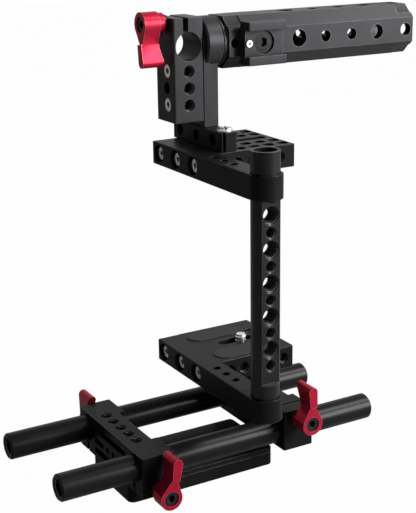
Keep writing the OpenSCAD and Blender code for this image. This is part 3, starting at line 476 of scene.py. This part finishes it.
def steel(name, light, dark, roughness, metal):
    """Steel between a light and a dark colour, with painted shade in its sockets and slots.
    """
    material, tree, shader = bare_material(name)
    grain = tree.nodes.new("ShaderNodeGroup")
    grain.node_tree = blasted
    grain.inputs["Scale"].default_value = 1500.0
    grain.inputs["Roughness"].default_value = roughness
    grain.inputs["Spread"].default_value = 0.25
    edges = tree.nodes.new("ShaderNodeGroup")
    edges.node_tree = rubbed
    edges.inputs["Amount"].default_value = 0.5
    cloudy = colour_mix(tree, grain.outputs["Cloud"], dark, light)
    # Edges are painted lighter: partly wear, partly a painted highlight.
    colour = colour_mix(tree, edges.outputs["Mask"], cloudy,
                        tuple(min(1, c * 1.3) for c in light))
    # Painted shade: sockets and slots are darkened in the colour itself.
    shade = tree.nodes.new("ShaderNodeGroup")
    shade.node_tree = depths
    shade.inputs["Reach"].default_value = STEEL_SHADE_REACH
    shade.inputs["Amount"].default_value = 1.5
    colour = colour_mix(tree, shade.outputs["Mask"], colour, tuple(c * 0.08 for c in dark))
    tree.links.new(colour, shader.inputs["Base Color"])
    tree.links.new(grain.outputs["Roughness"], shader.inputs["Roughness"])
    bump = tree.nodes.new("ShaderNodeBump")
    bump.inputs["Strength"].default_value = 0.15
    bump.inputs["Distance"].default_value = GRAIN_DEPTH * 0.5
    tree.links.new(grain.outputs["Height"], bump.inputs["Height"])
    tree.links.new(bump.outputs["Normal"], shader.inputs["Normal"])
    shader.inputs["Metallic"].default_value = metal
    return material


for name, light, dark, roughness, metal in (
        ("bright_steel", (0.96, 0.9, 0.83), (0.8, 0.75, 0.68), 0.34, 0.9),
        ("dull_steel", (0.6, 0.58, 0.55), (0.45, 0.44, 0.42), 0.36, 1.0),
        ("black_steel", (0.035, 0.035, 0.037), (0.016, 0.016, 0.017), 0.2, 0.6)):
    FINISH[name] = steel(name, light, dark, roughness, metal)
    print(name, "roughness", roughness)

# %% [markdown]
# Rubber and plastic have no metal in them: a dark colour that drifts a little, and a
# grain that is deeper on the moulded rubber.

# %% Rubber and plastic
def soft_black(name, colour, roughness, grain_scale, depth):
    """A soft dark surface with a moulded grain."""
    material, tree, shader = bare_material(name)
    grain = tree.nodes.new("ShaderNodeGroup")
    grain.node_tree = blasted
    grain.inputs["Scale"].default_value = grain_scale
    grain.inputs["Roughness"].default_value = roughness
    lighter = tuple(c * 1.5 for c in colour)
    tinted = colour_mix(tree, grain.outputs["Cloud"], colour, lighter)
    tree.links.new(tinted, shader.inputs["Base Color"])
    tree.links.new(grain.outputs["Roughness"], shader.inputs["Roughness"])
    bump = tree.nodes.new("ShaderNodeBump")
    bump.inputs["Distance"].default_value = depth
    tree.links.new(grain.outputs["Height"], bump.inputs["Height"])
    tree.links.new(bump.outputs["Normal"], shader.inputs["Normal"])
    return material


FINISH["rubber"] = soft_black("rubber", (0.012, 0.011, 0.011), 0.8, 1400.0, 0.08 * MM)
FINISH["black_plastic"] = soft_black("black_plastic", (0.02, 0.02, 0.021), 0.5, 2200.0,
                                     0.03 * MM)
print("soft:", FINISH["rubber"].name, FINISH["black_plastic"].name)

# %% [markdown]
# Each CAD node says in the record which finish it has. So one loop gives them all out.

# %% A finish for every node
SLOT = {entry["node"]: entry["material_slot"] for entry in RECORD["subparts"]}
for name, node in NODES.items():
    node.data.materials.clear()
    node.data.materials.append(FINISH[SLOT[name]])
print("finishes:", sorted(FINISH))

# %% [markdown]
# ## Broken edges
# Milled blocks never keep razor edges: each one is broken by a small chamfer that
# catches the light, and so is the mouth of each hole. CAD nodes come as loose triangles
# with sharp edges. So each piece is a copy of its node, merged into a clean mesh and
# bevelled along its outer edges. Three helpers come first, for what is done by hand
# again and again: select one object, select some corners of it, apply its modifiers.

# %% Helpers for editing
def make_active(piece):
    """Selects one object alone and makes it active."""
    bpy.ops.object.select_all(action="DESELECT")
    bpy.context.view_layer.objects.active = piece
    piece.select_set(True)


def pick_corners(piece, where):
    """Selects, in edit mode, only the vertices that a test on their place finds."""
    bpy.ops.object.mode_set(mode="EDIT")
    bpy.ops.mesh.select_mode(type="VERT")
    bpy.ops.mesh.select_all(action="DESELECT")
    bpy.ops.object.mode_set(mode="OBJECT")
    for corner in piece.data.vertices:
        corner.select = where(corner.co)
    bpy.ops.object.mode_set(mode="EDIT")


def apply_all(piece):
    """Applies every modifier on a piece."""
    make_active(piece)
    for modifier in list(piece.modifiers):
        bpy.ops.object.modifier_apply(modifier=modifier.name)


print("helpers:", make_active.__name__, pick_corners.__name__, apply_all.__name__)

# %% [markdown]
# A bevel weight on each edge tells the modifier where to cut and how wide. After it a
# Weighted Normal modifier keeps the large faces flat, and only the chamfers look round.

# %% How a piece gets its broken edges
SMOOTH_BELOW = math.radians(40)
EDGE_ABOVE = math.radians(32)
FLAT_BELOW = math.radians(0.5)
LONG_EDGE = 3.0 * MM
SHORT_SHARE = 0.6


def flat_normals(piece):
    """Lets the largest face at each corner decide how it is shaded."""
    make_active(piece)
    bpy.ops.object.shade_smooth_by_angle(angle=SMOOTH_BELOW)
    weigh = piece.modifiers.new("flat_faces", "WEIGHTED_NORMAL")
    weigh.keep_sharp = True
    weigh.weight = 100
    apply_all(piece)


def weigh_edges(piece):
    """Full chamfer weight for long sharp edges, less for the short ones of a rim.

    Inner corners keep none: a cutter leaves them sharp, and a chamfer would fill them."""
    shape = bmesh.new()
    shape.from_mesh(piece.data)
    weights = shape.edges.layers.float.new("bevel_weight_edge")
    for edge in shape.edges:
        if (len(edge.link_faces) == 2 and edge.is_convex
                and edge.calc_face_angle() > EDGE_ABOVE):
            edge[weights] = 1.0 if edge.calc_length() > LONG_EDGE else SHORT_SHARE
    shape.to_mesh(piece.data)
    shape.free()


def broken_edges(name, width, segments, clamp):
    """A copy of a CAD node with its edges broken by a chamfer of that width."""
    mesh = NODES[name].data.copy()
    piece = bpy.data.objects.new(name + "_finished", mesh)
    bpy.context.scene.collection.objects.link(piece)
    make_active(piece)
    bpy.ops.object.mode_set(mode="EDIT")
    bpy.ops.mesh.select_all(action="SELECT")
    bpy.ops.mesh.remove_doubles(threshold=0.002 * MM)
    bpy.ops.mesh.dissolve_limited(angle_limit=FLAT_BELOW)
    bpy.ops.object.mode_set(mode="OBJECT")
    weigh_edges(piece)
    chamfer = piece.modifiers.new("edges", "BEVEL")
    chamfer.width = width
    chamfer.segments = segments
    chamfer.limit_method = "WEIGHT"
    chamfer.use_clamp_overlap = clamp
    chamfer.miter_outer = "MITER_ARC"
    apply_all(piece)
    flat_normals(piece)
    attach(piece, NODES[name]["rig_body"])
    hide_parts(name)
    return piece


print("edges sharper than", round(math.degrees(EDGE_ABOVE)), "degrees are broken")

# %% [markdown]
# Large blocks have wider chamfers than small screws. On crowded pieces, where holes stand
# close together, the modifier is told to stop before two chamfers meet.

# %% Break the edges of the milled pieces
WIDE = 0.4 * MM
LEVERS = ["front_near_lever", "front_far_lever", "rear_near_lever", "rear_far_lever",
          "post_lever"]
EDGE_WIDTHS = {
    0.6 * MM: ["lower_arm", "upper_arm"],
    0.35 * MM: ["front_clamp", "rear_clamp", "riser_block", "camera_plate", "top_plate",
                "bracket_foot", "handle_bracket", "rod_post", "shoe_block", "base_slab"],
    0.3 * MM: ["near_rod", "far_rod", "shoe_bolt", "upright_rod", "handle_grip",
               "handle_flange"],
    0.5 * MM: LEVERS,
    0.15 * MM: ["handle_spacer_ring", "camera_screw_washer", "shoe_stop_screw"]
               + [lever + "_insert" for lever in LEVERS],
    0.28 * MM: [lever + "_screw" for lever in LEVERS]
               + ["lower_arm_screws", "upper_arm_screws", "rod_post_screws", "slab_screws",
                  "riser_screws"],
}
CROWDED = {"base_slab", "handle_flange", "handle_grip", "upright_rod", "shoe_stop_screw",
           *LEVERS}
finished = {}
for width, names in EDGE_WIDTHS.items():
    for name in names:
        finished[name] = broken_edges(name, width, 3 if width > WIDE else 2,
                                      name in CROWDED)
        print(name, len(finished[name].data.polygons), "faces")

# %% [markdown]
# The camera screw's washer slides on its seat. Its upper face is taken down by a hair,
# so that the two faces lie close without sharing one plane.

# %% The washer rubs on its seat
HAIR = 0.03 * MM
washer = finished["camera_screw_washer"]
make_active(washer)
washer_top = max(vertex.co.z for vertex in washer.data.vertices)
pick_corners(washer, lambda place: place.z > washer_top - 0.01 * MM)
bpy.ops.transform.translate(value=(0, 0, -HAIR))
bpy.ops.object.mode_set(mode="OBJECT")
print("washer thinner by mm:",
      round((washer_top - max(v.co.z for v in washer.data.vertices)) / MM, 3))

# %% [markdown]
# Two finishes differ from what the record says of the nodes: the rods are the same black
# but turned, and the bracket is seen in the photograph in the dark grey of the post.

# %% The rods get the turned finish
finished["upright_rod"].data.materials[0] = TURNED_BLACK["upright"]
for name in ("near_rod", "far_rod"):
    finished[name].data.materials[0] = TURNED_BLACK["level"]
print("turned:", finished["upright_rod"].data.materials[0].name)

# %% The bracket is the same dark grey as the post beside it
finished["handle_bracket"].data.materials[0] = FINISH["grey_anodised"]
print("bracket:", finished["handle_bracket"].data.materials[0].name)

# %% [markdown]
# ## Screw threads
# Looked at from the front, the rods' mouths show a few turns of thread. A thread is one
# ridge that climbs round and round. By hand it would be a small four-sided profile that
# a Screw modifier carries round the axis, so that is how it is made here: a plane is
# stood up, its outer edge is drawn together to the crest, and the modifier does the
# rest. The ridge is made once for each size, and copied into each hole.

# %% A ridge that winds round the Z axis
RIDGE_SHARE = 0.94
CREST_SHARE = 0.16
MERGE = 0.001 * MM
SMOOTH_THREAD = math.radians(20)


def thread_ridge(name, root_r, crest_r, pitch, turns, steps):
    """One helical ridge round Z from height zero up; its crest is at crest_r."""
    bpy.ops.object.select_all(action="DESELECT")
    bpy.ops.mesh.primitive_plane_add(size=1.0, location=(0, 0, 0))
    ridge = bpy.context.object
    ridge.name = name
    low_r, high_r = min(root_r, crest_r), max(root_r, crest_r)
    bpy.ops.object.mode_set(mode="EDIT")
    bpy.ops.transform.rotate(value=math.radians(90), orient_axis="X",
                             center_override=(0, 0, 0))
    bpy.ops.transform.resize(value=(high_r - low_r, 1, RIDGE_SHARE * pitch),
                             center_override=(0, 0, 0))
    bpy.ops.transform.translate(value=((low_r + high_r) / 2, 0, 0))
    bpy.ops.object.mode_set(mode="OBJECT")
    pick_corners(ridge, lambda place: abs(place.x - crest_r) < 0.01 * MM)
    bpy.ops.transform.resize(value=(1, 1, CREST_SHARE), center_override=(crest_r, 0, 0))
    bpy.ops.object.mode_set(mode="OBJECT")
    wind = ridge.modifiers.new("wind", "SCREW")
    wind.axis = "Z"
    wind.steps = wind.render_steps = steps
    wind.screw_offset = pitch
    wind.iterations = turns
    apply_all(ridge)
    bpy.ops.object.mode_set(mode="EDIT")
    bpy.ops.mesh.select_all(action="SELECT")
    bpy.ops.mesh.remove_doubles(threshold=MERGE)
    bpy.ops.mesh.fill_holes(sides=4)
    bpy.ops.mesh.select_all(action="SELECT")
    bpy.ops.mesh.normals_make_consistent(inside=False)
    bpy.ops.object.mode_set(mode="OBJECT")
    bpy.ops.object.shade_smooth_by_angle(angle=SMOOTH_THREAD)
    return ridge


def thread_copy(ridge, name, place, axis, body, slot):
    """Sets a copy of a ridge at a place, climbing along an axis."""
    piece = bpy.data.objects.new(name, ridge.data.copy())
    bpy.context.scene.collection.objects.link(piece)
    piece.rotation_euler = Vector(axis).to_track_quat("Z", "Y").to_euler()
    piece.location = place
    make_active(piece)
    bpy.ops.object.transform_apply(location=True, rotation=True, scale=True)
    piece.data.materials.clear()
    piece.data.materials.append(FINISH[slot])
    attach(piece, body)
    return piece


print("helpers:", thread_ridge.__name__, thread_copy.__name__)

# %% [markdown]
# A tapped mouth is opened by a lead-in chamfer before the thread begins. It is a ring of
# wedge section: a cone without its ends, with an outer wall drawn up behind it.

# %% A lead-in chamfer for a tapped mouth
def lead_in(name, wide_r, narrow_r, depth):
    """A ring of wedge section: wide at height zero, narrow at its depth above."""
    bpy.ops.object.select_all(action="DESELECT")
    bpy.ops.mesh.primitive_cone_add(vertices=48, radius1=wide_r, radius2=narrow_r,
                                    depth=depth, end_fill_type="NOTHING",
                                    location=(0, 0, depth / 2))
    ring = bpy.context.object
    ring.name = name
    make_active(ring)
    bpy.ops.object.transform_apply(location=True, rotation=False, scale=False)
    pick_corners(ring, lambda place: place.z > depth / 2)
    bpy.ops.mesh.extrude_region_move(TRANSFORM_OT_translate={"value": (0, 0, 0)})
    bpy.ops.transform.resize(value=(wide_r / narrow_r, wide_r / narrow_r, 1),
                             center_override=(0, 0, depth))
    bpy.ops.mesh.extrude_region_move(TRANSFORM_OT_translate={"value": (0, 0, -depth)})
    bpy.ops.mesh.select_all(action="SELECT")
    bpy.ops.mesh.remove_doubles(threshold=MERGE)
    bpy.ops.mesh.normals_make_consistent(inside=False)
    bpy.ops.object.mode_set(mode="OBJECT")
    bpy.ops.object.shade_smooth_by_angle(angle=SMOOTH_THREAD)
    return ring


print("helper:", lead_in.__name__)

# %% [markdown]
# The rods' mouths are tapped M12, a pitch of 1.75 mm. The two level rods have the lead-in
# ring just inside the end; the upright one is open and smooth at first, and its thread
# begins deeper.

# %% Threads in the mouths of the rods
M12_HOLE_R = 6.05 * MM
M12_CREST_R = 4.95 * MM
M12_PITCH = 1.75 * MM
M12_TURNS = 6
INTO_WALL = 0.04 * MM
MOUTH_DEPTH = 1.2 * MM
UPRIGHT_MOUTH_DEPTH = 4.5 * MM
RING_DEPTH = 0.9 * MM
RING_INSET = 0.3 * MM
mouth_ring = lead_in("mouth_ring", M12_HOLE_R + INTO_WALL, M12_CREST_R, RING_DEPTH)
rod_ridge = thread_ridge("rod_ridge", M12_HOLE_R + INTO_WALL, M12_CREST_R, M12_PITCH,
                         M12_TURNS, 40)
for rod in ("near_rod", "far_rod", "upright_rod"):
    low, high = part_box(rod)
    middle = (Vector(low) + Vector(high)) / 2
    upright = rod == "upright_rod"
    along = Vector((0, 0, 1)) if upright else Vector((0, 1, 0))
    reach = (high[2] - low[2] if upright else high[1] - low[1]) / 2
    for end, side in (("start", -1), ("end", 1)):
        below = UPRIGHT_MOUTH_DEPTH if upright else MOUTH_DEPTH
        mouth = middle + along * side * (reach - below - 0.5 * M12_PITCH)
        thread_copy(rod_ridge, f"{rod}_{end}_thread", mouth, -along * side,
                    NODES[rod]["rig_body"], SLOT[rod])
        if not upright:
            edge = middle + along * side * (reach - RING_INSET)
            thread_copy(mouth_ring, f"{rod}_{end}_mouth", edge, -along * side,
                        NODES[rod]["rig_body"], "grey_anodised")
bpy.data.objects.remove(rod_ridge)
bpy.data.objects.remove(mouth_ring)
print("thread turns in each mouth:", M12_TURNS)

# %% [markdown]
# The upright rod is drilled right through in a row, and each hole is tapped, small and
# large in turn. The thread leaves only a sliver of daylight in the large ones. Their
# places follow the rod's own box: the first hole, then one each 8.8 mm.

# %% Threads across the upright rod
ROW_FIRST = 89.5 * MM
ROW_PITCH = 8.8 * MM
ROW_COUNT = 11
SMALL = {"root": 2.79 * MM, "crest": 2.3 * MM, "pitch": 1.27 * MM, "turns": 7}
LARGE = {"root": 4.24 * MM, "crest": 3.5 * MM, "pitch": 1.59 * MM, "turns": 5}
low, high = (Vector(corner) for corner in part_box("upright_rod"))
across = (low + high) / 2
for label, size in (("small", SMALL), ("large", LARGE)):
    ridge = thread_ridge(label + "_ridge", size["root"], size["crest"], size["pitch"],
                         size["turns"], 28)
    half_run = size["turns"] * size["pitch"] / 2
    for index in range(0 if label == "small" else 1, ROW_COUNT, 2):
        mouth = Vector((across.x - half_run, across.y, ROW_FIRST + index * ROW_PITCH))
        thread_copy(ridge, f"upright_{label}_thread_{index}", mouth, Vector((1, 0, 0)),
                    NODES["upright_rod"]["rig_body"], SLOT["upright_rod"])
    bpy.data.objects.remove(ridge)
    print(label, "holes have a thread from", round(size["crest"] / MM, 2), "mm radius")

# %% [markdown]
# The rows on the clamps, the plates' sides and the post are tapped a quarter inch. Each
# place is a point on a face in mm, a way in, and the number of turns that are seen. One
# ridge for each number of turns serves them all.

# %% Threads in the quarter-inch holes
QUARTER = {"root": 3.26 * MM, "crest": 2.62 * MM, "pitch": 1.27 * MM}
FIRST_TURN = 1.1 * MM
ROWS = {
    "rod_post": [((-5 + 10 * side, 5.6, z), (-side, 0, 0), 3)
                 for side in (-1, 1) for z in (212.5, 221.5, 230.5)],
    "front_clamp": [((-1.4 + 9.45 * k, -38.9, 33.8), (0, 0, -1), 2) for k in range(-2, 3)],
    "rear_clamp": [((-1.4 + 9.45 * k, 51.4, 15.4), (0, 0, 1), 2) for k in range(-2, 3)],
    "camera_plate": [((25.4 * side, 35.4 + 8.8 * k, 65.4), (-side, 0, 0), 1)
                     for side in (-1, 1) for k in range(-2, 3)],
    "top_plate": [((25.4 * side, 22.8 + 9 * k, 183.0), (-side, 0, 0), 1)
                  for side in (-1, 1) for k in range(4)],
}
for turns in (1, 2, 3):
    ridge = thread_ridge("quarter_ridge", QUARTER["root"], QUARTER["crest"],
                         QUARTER["pitch"], turns, 24)
    count = 0
    for name, places in ROWS.items():
        for index, (place, inward, depth) in enumerate(places):
            if depth != turns:
                continue
            way = Vector(inward)
            start = Vector(place) * MM + way * FIRST_TURN
            thread_copy(ridge, f"{name}_thread_{index}", start, way,
                        NODES[name]["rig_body"], SLOT[name])
            count += 1
    bpy.data.objects.remove(ridge)
    print(count, "holes with", turns, "turns")

# %% [markdown]
# The camera screw has the same thread on its outside. Its end is a plain cylinder in the
# CAD, so the copy's end is drawn in to the thread's root and a ridge is wound round it.

# %% The camera screw's thread
STUD_R = 3.175 * MM
NECK_R = 2.7 * MM
STUD_END = 2.4 * MM
TIP_CHAMFER = 0.25 * MM
ROOT_SHARE = 0.82
stud = broken_edges("camera_screw", TIP_CHAMFER, 2, True)
low, high = (Vector(corner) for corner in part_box("camera_screw"))
axis_point = Vector(((low.x + high.x) / 2, (low.y + high.y) / 2, high.z))
make_active(stud)
pick_corners(stud, lambda place: place.z > high.z - STUD_END - 0.3 * MM
             and (place - axis_point).xy.length > NECK_R + 0.05 * MM)
bpy.ops.transform.resize(value=(ROOT_SHARE, ROOT_SHARE, 1), center_override=axis_point)
bpy.ops.object.mode_set(mode="OBJECT")
stud_ridge = thread_ridge("stud_ridge", ROOT_SHARE * STUD_R, STUD_R - 0.03 * MM,
                          QUARTER["pitch"], 1, 32)
thread_copy(stud_ridge, "camera_screw_thread",
            axis_point - Vector((0, 0, STUD_END - 0.5 * MM)), (0, 0, 1),
            NODES["camera_screw"]["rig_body"], SLOT["camera_screw"])
bpy.data.objects.remove(stud_ridge)
plate_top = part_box("camera_plate")[1][2]
print("camera screw stands up by mm:", round((high.z - plate_top) / MM, 2))

# %% [markdown]
# ## Domed screws
# The foot of the handle's bracket is held by two plated screws with domed, slotted
# heads. The CAD gives them a cone. Here the head starts as a low cylinder, and faces of
# it are picked by the way they look.

# %% The head begins as a cylinder
low, high = (Vector(corner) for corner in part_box("bracket_foot_screws"))
HEAD_R = (high.y - low.y) / 2
HEAD_H = 2.4 * MM
SHANK_R = 2.4 * MM
RIM_SHARE = 0.4
bpy.ops.object.select_all(action="DESELECT")
bpy.ops.mesh.primitive_cylinder_add(vertices=48, radius=HEAD_R, depth=RIM_SHARE * HEAD_H,
                                    location=(0, 0, RIM_SHARE * HEAD_H / 2))
dome = bpy.context.object
dome.name = "dome"
make_active(dome)
bpy.ops.object.transform_apply(location=True, rotation=False, scale=False)


def pick_face(piece, where):
    """Selects, in edit mode, the one face that a test on its middle and normal finds."""
    bpy.ops.object.mode_set(mode="EDIT")
    bpy.ops.mesh.select_mode(type="FACE")
    bpy.ops.mesh.select_all(action="DESELECT")
    bpy.ops.object.mode_set(mode="OBJECT")
    for face in piece.data.polygons:
        face.select = where(face.center, face.normal)
    bpy.ops.object.mode_set(mode="EDIT")


print("head in mm:", round(2 * HEAD_R / MM, 2), "wide")

# %% [markdown]
# The top face is drawn up and in four times to make the dome. The bottom face is inset to
# the shank's width and drawn down.

# %% The dome and the shank
DOME_STEPS = ((0.62, 0.955), (0.8, 0.84), (0.92, 0.66), (0.98, 0.4))
pick_face(dome, lambda middle, normal: normal.z > 0.9)
width, height = 1.0, RIM_SHARE
for next_height, next_width in DOME_STEPS:
    bpy.ops.mesh.extrude_region_move(
        TRANSFORM_OT_translate={"value": (0, 0, (next_height - height) * HEAD_H)})
    bpy.ops.transform.resize(value=(next_width / width, next_width / width, 1),
                             center_override=(0, 0, next_height * HEAD_H))
    width, height = next_width, next_height
bpy.ops.object.mode_set(mode="OBJECT")
pick_face(dome, lambda middle, normal: normal.z < -0.9)
bpy.ops.mesh.inset(thickness=HEAD_R - SHANK_R)
SHANK_L = high.z - low.z - HEAD_H
bpy.ops.mesh.extrude_region_move(TRANSFORM_OT_translate={"value": (0, 0, -SHANK_L)})
bpy.ops.object.mode_set(mode="OBJECT")
print("screw in mm:", round((HEAD_H + SHANK_L) / MM, 2), "long")

# %% [markdown]
# A Boolean saws the driver's slot with a thin block, and a small bevel softens its edges.

# %% The driver's slot
SLOT_W = 1.1 * MM
SLOT_DEPTH = 1.0 * MM
RIM_WIDTH = 0.12 * MM
SMOOTH_MOULDED = math.radians(35)
bpy.ops.object.select_all(action="DESELECT")
bpy.ops.mesh.primitive_cube_add(size=1.0, location=(0, 0, HEAD_H))
saw = bpy.context.object
saw.scale = (SLOT_W, 3 * HEAD_R, 2 * SLOT_DEPTH)
slot_cut = dome.modifiers.new("slot", "BOOLEAN")
slot_cut.object = saw
slot_cut.operation = "DIFFERENCE"
rim = dome.modifiers.new("rim", "BEVEL")
rim.width = RIM_WIDTH
rim.segments = 2
rim.limit_method = "ANGLE"
rim.angle_limit = math.radians(40)
apply_all(dome)
bpy.data.objects.remove(saw)
make_active(dome)
bpy.ops.object.shade_smooth_by_angle(angle=SMOOTH_MOULDED)
print("faces of the screw:", len(dome.data.polygons))

# %% [markdown]
# Each place gets its own copy, and no two slots point the same way.

# %% One copy in each place
FOOT_TURN = {-1: 25, 1: 70}
foot_middle = (low + high) / 2
for side in (-1, 1):
    reach = (high.x - low.x) / 2 - HEAD_R
    piece = bpy.data.objects.new("foot_screw_near" if side > 0 else "foot_screw_far",
                                 dome.data.copy())
    bpy.context.scene.collection.objects.link(piece)
    piece.rotation_euler = (0, 0, math.radians(FOOT_TURN[side]))
    piece.location = (foot_middle.x + side * reach, foot_middle.y, high.z - HEAD_H)
    make_active(piece)
    bpy.ops.object.transform_apply(location=True, rotation=True, scale=True)
    piece.data.materials.clear()
    piece.data.materials.append(FINISH["bright_steel"])
    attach(piece, NODES["bracket_foot_screws"]["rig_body"])
    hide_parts("bracket_foot_screws")
    print(piece.name, "turned by", FOOT_TURN[side], "degrees")
bpy.data.objects.remove(dome)

# %% [markdown]
# ## Rubber pads
# Two raised pads beside the plate's slot keep the camera from sliding. They are
# moulded rubber: a long rounded shape with a soft edge and a slightly sunk middle. Each
# starts as a cylinder as wide as the pad. Its two halves are drawn apart to its length,
# and inset and bevel give it its rim.

# %% The two pads
RIM = 0.8 * MM
SUNK = 0.12 * MM
SLOPE = 0.5 * MM
SOFT_EDGE = 0.18 * MM
PADS = NODES["camera_pads"]
pad_shape = bmesh.new()
pad_shape.from_mesh(PADS.data)
left = [v.co.copy() for v in pad_shape.verts if v.co.x < 0]
right = [v.co.copy() for v in pad_shape.verts if v.co.x > 0]
pad_shape.free()
for label, corners in (("far", left), ("near", right)):
    low = Vector([min(c[i] for c in corners) for i in range(3)])
    high = Vector([max(c[i] for c in corners) for i in range(3)])
    width, length, tall = high - low
    bpy.ops.object.select_all(action="DESELECT")
    middle = (low + high) / 2
    bpy.ops.mesh.primitive_cylinder_add(vertices=64, radius=width / 2, depth=tall,
                                        location=middle)
    pad = bpy.context.object
    pad.name = f"rubber_pad_{label}"
    make_active(pad)
    bpy.ops.object.transform_apply(location=True, rotation=False, scale=False)
    for end in (-1, 1):
        pick_corners(pad, lambda place: (place.y - middle.y) * end > 0.001 * MM)
        bpy.ops.transform.translate(value=(0, end * (length - width) / 2, 0))
        bpy.ops.object.mode_set(mode="OBJECT")
    pick_face(pad, lambda centre, normal: normal.z > 0.9)
    bpy.ops.mesh.inset(thickness=RIM)
    bpy.ops.transform.translate(value=(0, 0, -SUNK))
    bpy.ops.mesh.inset(thickness=SLOPE)
    bpy.ops.object.mode_set(mode="OBJECT")
    soft = pad.modifiers.new("soft_rim", "BEVEL")
    soft.width = SOFT_EDGE
    soft.segments = 3
    soft.limit_method = "ANGLE"
    soft.angle_limit = math.radians(30)
    apply_all(pad)
    make_active(pad)
    bpy.ops.object.shade_smooth_by_angle(angle=SMOOTH_MOULDED)
    pad.data.materials.clear()
    pad.data.materials.append(FINISH["rubber"])
    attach(pad, PADS["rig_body"])
    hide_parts("camera_pads")
    print(pad.name, [round(c / MM, 2) for c in pad.dimensions])

# %% [markdown]
# The picture is shown with plain Standard colours. Last, the box of the CAD model and the
# box with all the new pieces are written down, to see that nothing stands out of it.

# %% Look settings and the box of the visual model
bpy.context.scene.view_settings.view_transform = "Standard"
low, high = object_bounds()
print("grown by mm:", [round(c / MM, 2) for c in (cad_low - low)],
      [round(c / MM, 2) for c in (high - cad_high)])
